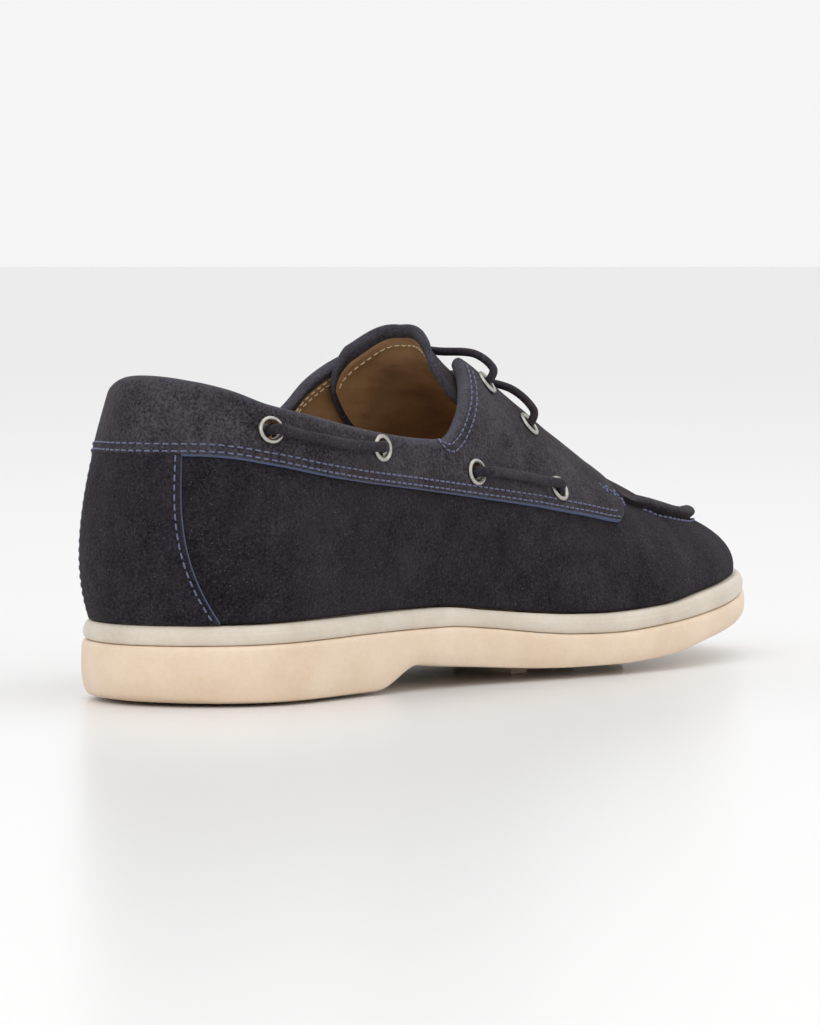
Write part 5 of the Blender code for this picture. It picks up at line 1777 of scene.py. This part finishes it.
def band_seam_rows():
    """Two rows over the band's lower edge, from one side's front end round the heel to the other's."""
    rows = []
    t = np.linspace(0.0, 6.15, 500)
    for distance in SEAM_ROWS:
        places = []
        for _, side in SIDES:
            u = round_place(t, side)
            seam = seam_share(t, side)
            v = seam + distance / up_speed(u, seam)
            places.append((u, v, band_rise(t) + OVERLAY_WALL))
        u = np.concatenate([places[0][0][::-1], places[1][0][1:]])
        v = np.concatenate([places[0][1][::-1], places[1][1][1:]])
        lift = np.concatenate([places[0][2][::-1], places[1][2][1:]])
        rows.append(on_shell(u, v, lift))
    return rows


def counter_rows():
    """One row inside each cut edge of the counter and a second near its top."""
    rise = np.linspace(0.02, 0.995, 160)
    rows = []
    for side in (-1.0, 1.0):
        for away in (0.0016,):
            half = COUNTER_HALF_WIDTH_TOP + (1.0 - rise) ** 3 * (
                COUNTER_HALF_WIDTH_BOTTOM - COUNTER_HALF_WIDTH_TOP
            )
            half = half + (COUNTER_INNER_EXTRA if side > 0 else 0.0)
            u, v = counter_place(side * (1.0 - away / half), rise)
            rows.append(on_shell(u, v, BAND_FACE - (0.15 * MM if side > 0 else 0.0)))
    return rows


def wing_rows(side):
    """Two rows beside the wing's rear edge, turned back up to the collar in a V at the notch."""
    table = TOPLINE_OUTER if side < 0 else TOPLINE_INNER
    notch = WING_NOTCH[side > 0]
    tip = WING_TIP[side > 0]
    rows = []
    for distance in WING_ROWS:
        along = np.linspace(notch - WING_RUN_IN, tip, 140)
        height = curve_height(table, 1, along)
        x = along * SOLE_LENGTH
        z = height * INSTEP_HEIGHT
        slope = np.gradient(z, x)
        size = np.sqrt(1.0 + slope**2)
        start = np.clip((along - notch + WING_RUN_IN) / WING_TURN, 0.0, 1.0)
        away = distance * start**0.8
        x = x + slope / size * away
        z = z - away / size
        u, v = find_on_skin(x / SOLE_LENGTH, z / INSTEP_HEIGHT, side)
        rows.append(on_shell(u, v, band_rise(np.minimum(u, 2 * ROWS - u)) + OVERLAY_WALL))
    return rows


def front_rows(side):
    """The bar tack at the panel's front end: a zigzag beside the front edge and up to the throat."""
    zigzag = (
        # along, height
        (0.6240, 0.5560),
        (0.6330, 0.5270),
        (0.6400, 0.5460),
        (0.6480, 0.5120),
        (0.6550, 0.5300),
        (0.6600, 0.4980),
        (0.6560, 0.4850),
        (0.6640, 0.5060),
    )
    along = np.array([row[0] for row in zigzag])
    height = np.array([row[1] for row in zigzag])
    u, v = find_on_skin(along, height, side)
    station = np.minimum(u, 2 * ROWS - u)
    path, out = on_shell(u, v, band_rise(station) + OVERLAY_WALL)
    fine = np.linspace(0.0, len(path) - 1.0, 8 * (len(path) - 1) + 1)
    whole = np.arange(len(path))
    path = np.stack([np.interp(fine, whole, path[:, k]) for k in range(3)], axis=1)
    out = np.stack([np.interp(fine, whole, out[:, k]) for k in range(3)], axis=1)
    return [(path, out)]


def plug_rows():
    """One row along the foot of the plug's lip, on the vamp."""
    t = np.linspace(station_over(APRON_START) + 0.05, ROWS, 300)
    places = []
    for _, side in SIDES:
        u = round_place(t, side)
        edge = apron_share(t, side)
        places.append((u, edge - 1.3 * MM / up_speed(u, edge)))
    u = np.concatenate([places[0][0], places[1][0][::-1][1:]])
    v = np.concatenate([places[0][1], places[1][1][::-1][1:]])
    return [on_shell(u, v, 0.0)]


def lining_rows():
    """Cream rows on the inside of each wing, under its padded edge."""
    rows = []
    t = np.linspace(3.95, 5.35, 120)
    for _, side in SIDES:
        u = round_place(t, side)
        top = topline_share(t, side)
        for distance in (0.0062, 0.0084):
            v = top - distance / up_speed(u, top)
            place = shell(u, v, -UPPER_WALL)
            rows.append((place, -skin_normal(u, v)))
    return rows


def tongue_row():
    """A cream row round the tongue's lining, just inside its padded edge."""
    rise = np.linspace(0.075, 1.0, 60)
    part = np.array([0.040])
    found = [tongue_middle(part, rise, side) for _, side in SIDES]
    path = np.concatenate([found[0][0][0], found[1][0][0][::-1][1:]])
    out = np.concatenate([found[0][1][0], found[1][1][0][::-1][1:]])
    return [(path - out * (TONGUE_WALL / 2.0 + 0.05 * MM), -out)]


def make_stitches():
    """All rows of thread: blue on the suede, cream on the lining."""
    blue = thread("blue thread", "#6F7699", "#454C69")
    cream = thread("cream thread", "#E0CDAE", "#B39770")
    stitches("stitches_band", band_seam_rows(), blue)
    stitches("stitches_counter", counter_rows(), blue)
    stitches("stitches_wing_outer", wing_rows(-1.0), blue, 0.0023)
    stitches("stitches_wing_inner", wing_rows(1.0), blue, 0.0023)
    stitches("stitches_front_outer", front_rows(-1.0), blue, 0.0016, 0.00028)
    stitches("stitches_front_inner", front_rows(1.0), blue, 0.0016, 0.00028)
    stitches("stitches_plug", plug_rows(), blue, 0.0031, 0.00030)
    stitches("stitches_lining", lining_rows(), cream, 0.0024)
    stitches("stitches_tongue", tongue_row(), cream, 0.0024)


make_stitches()
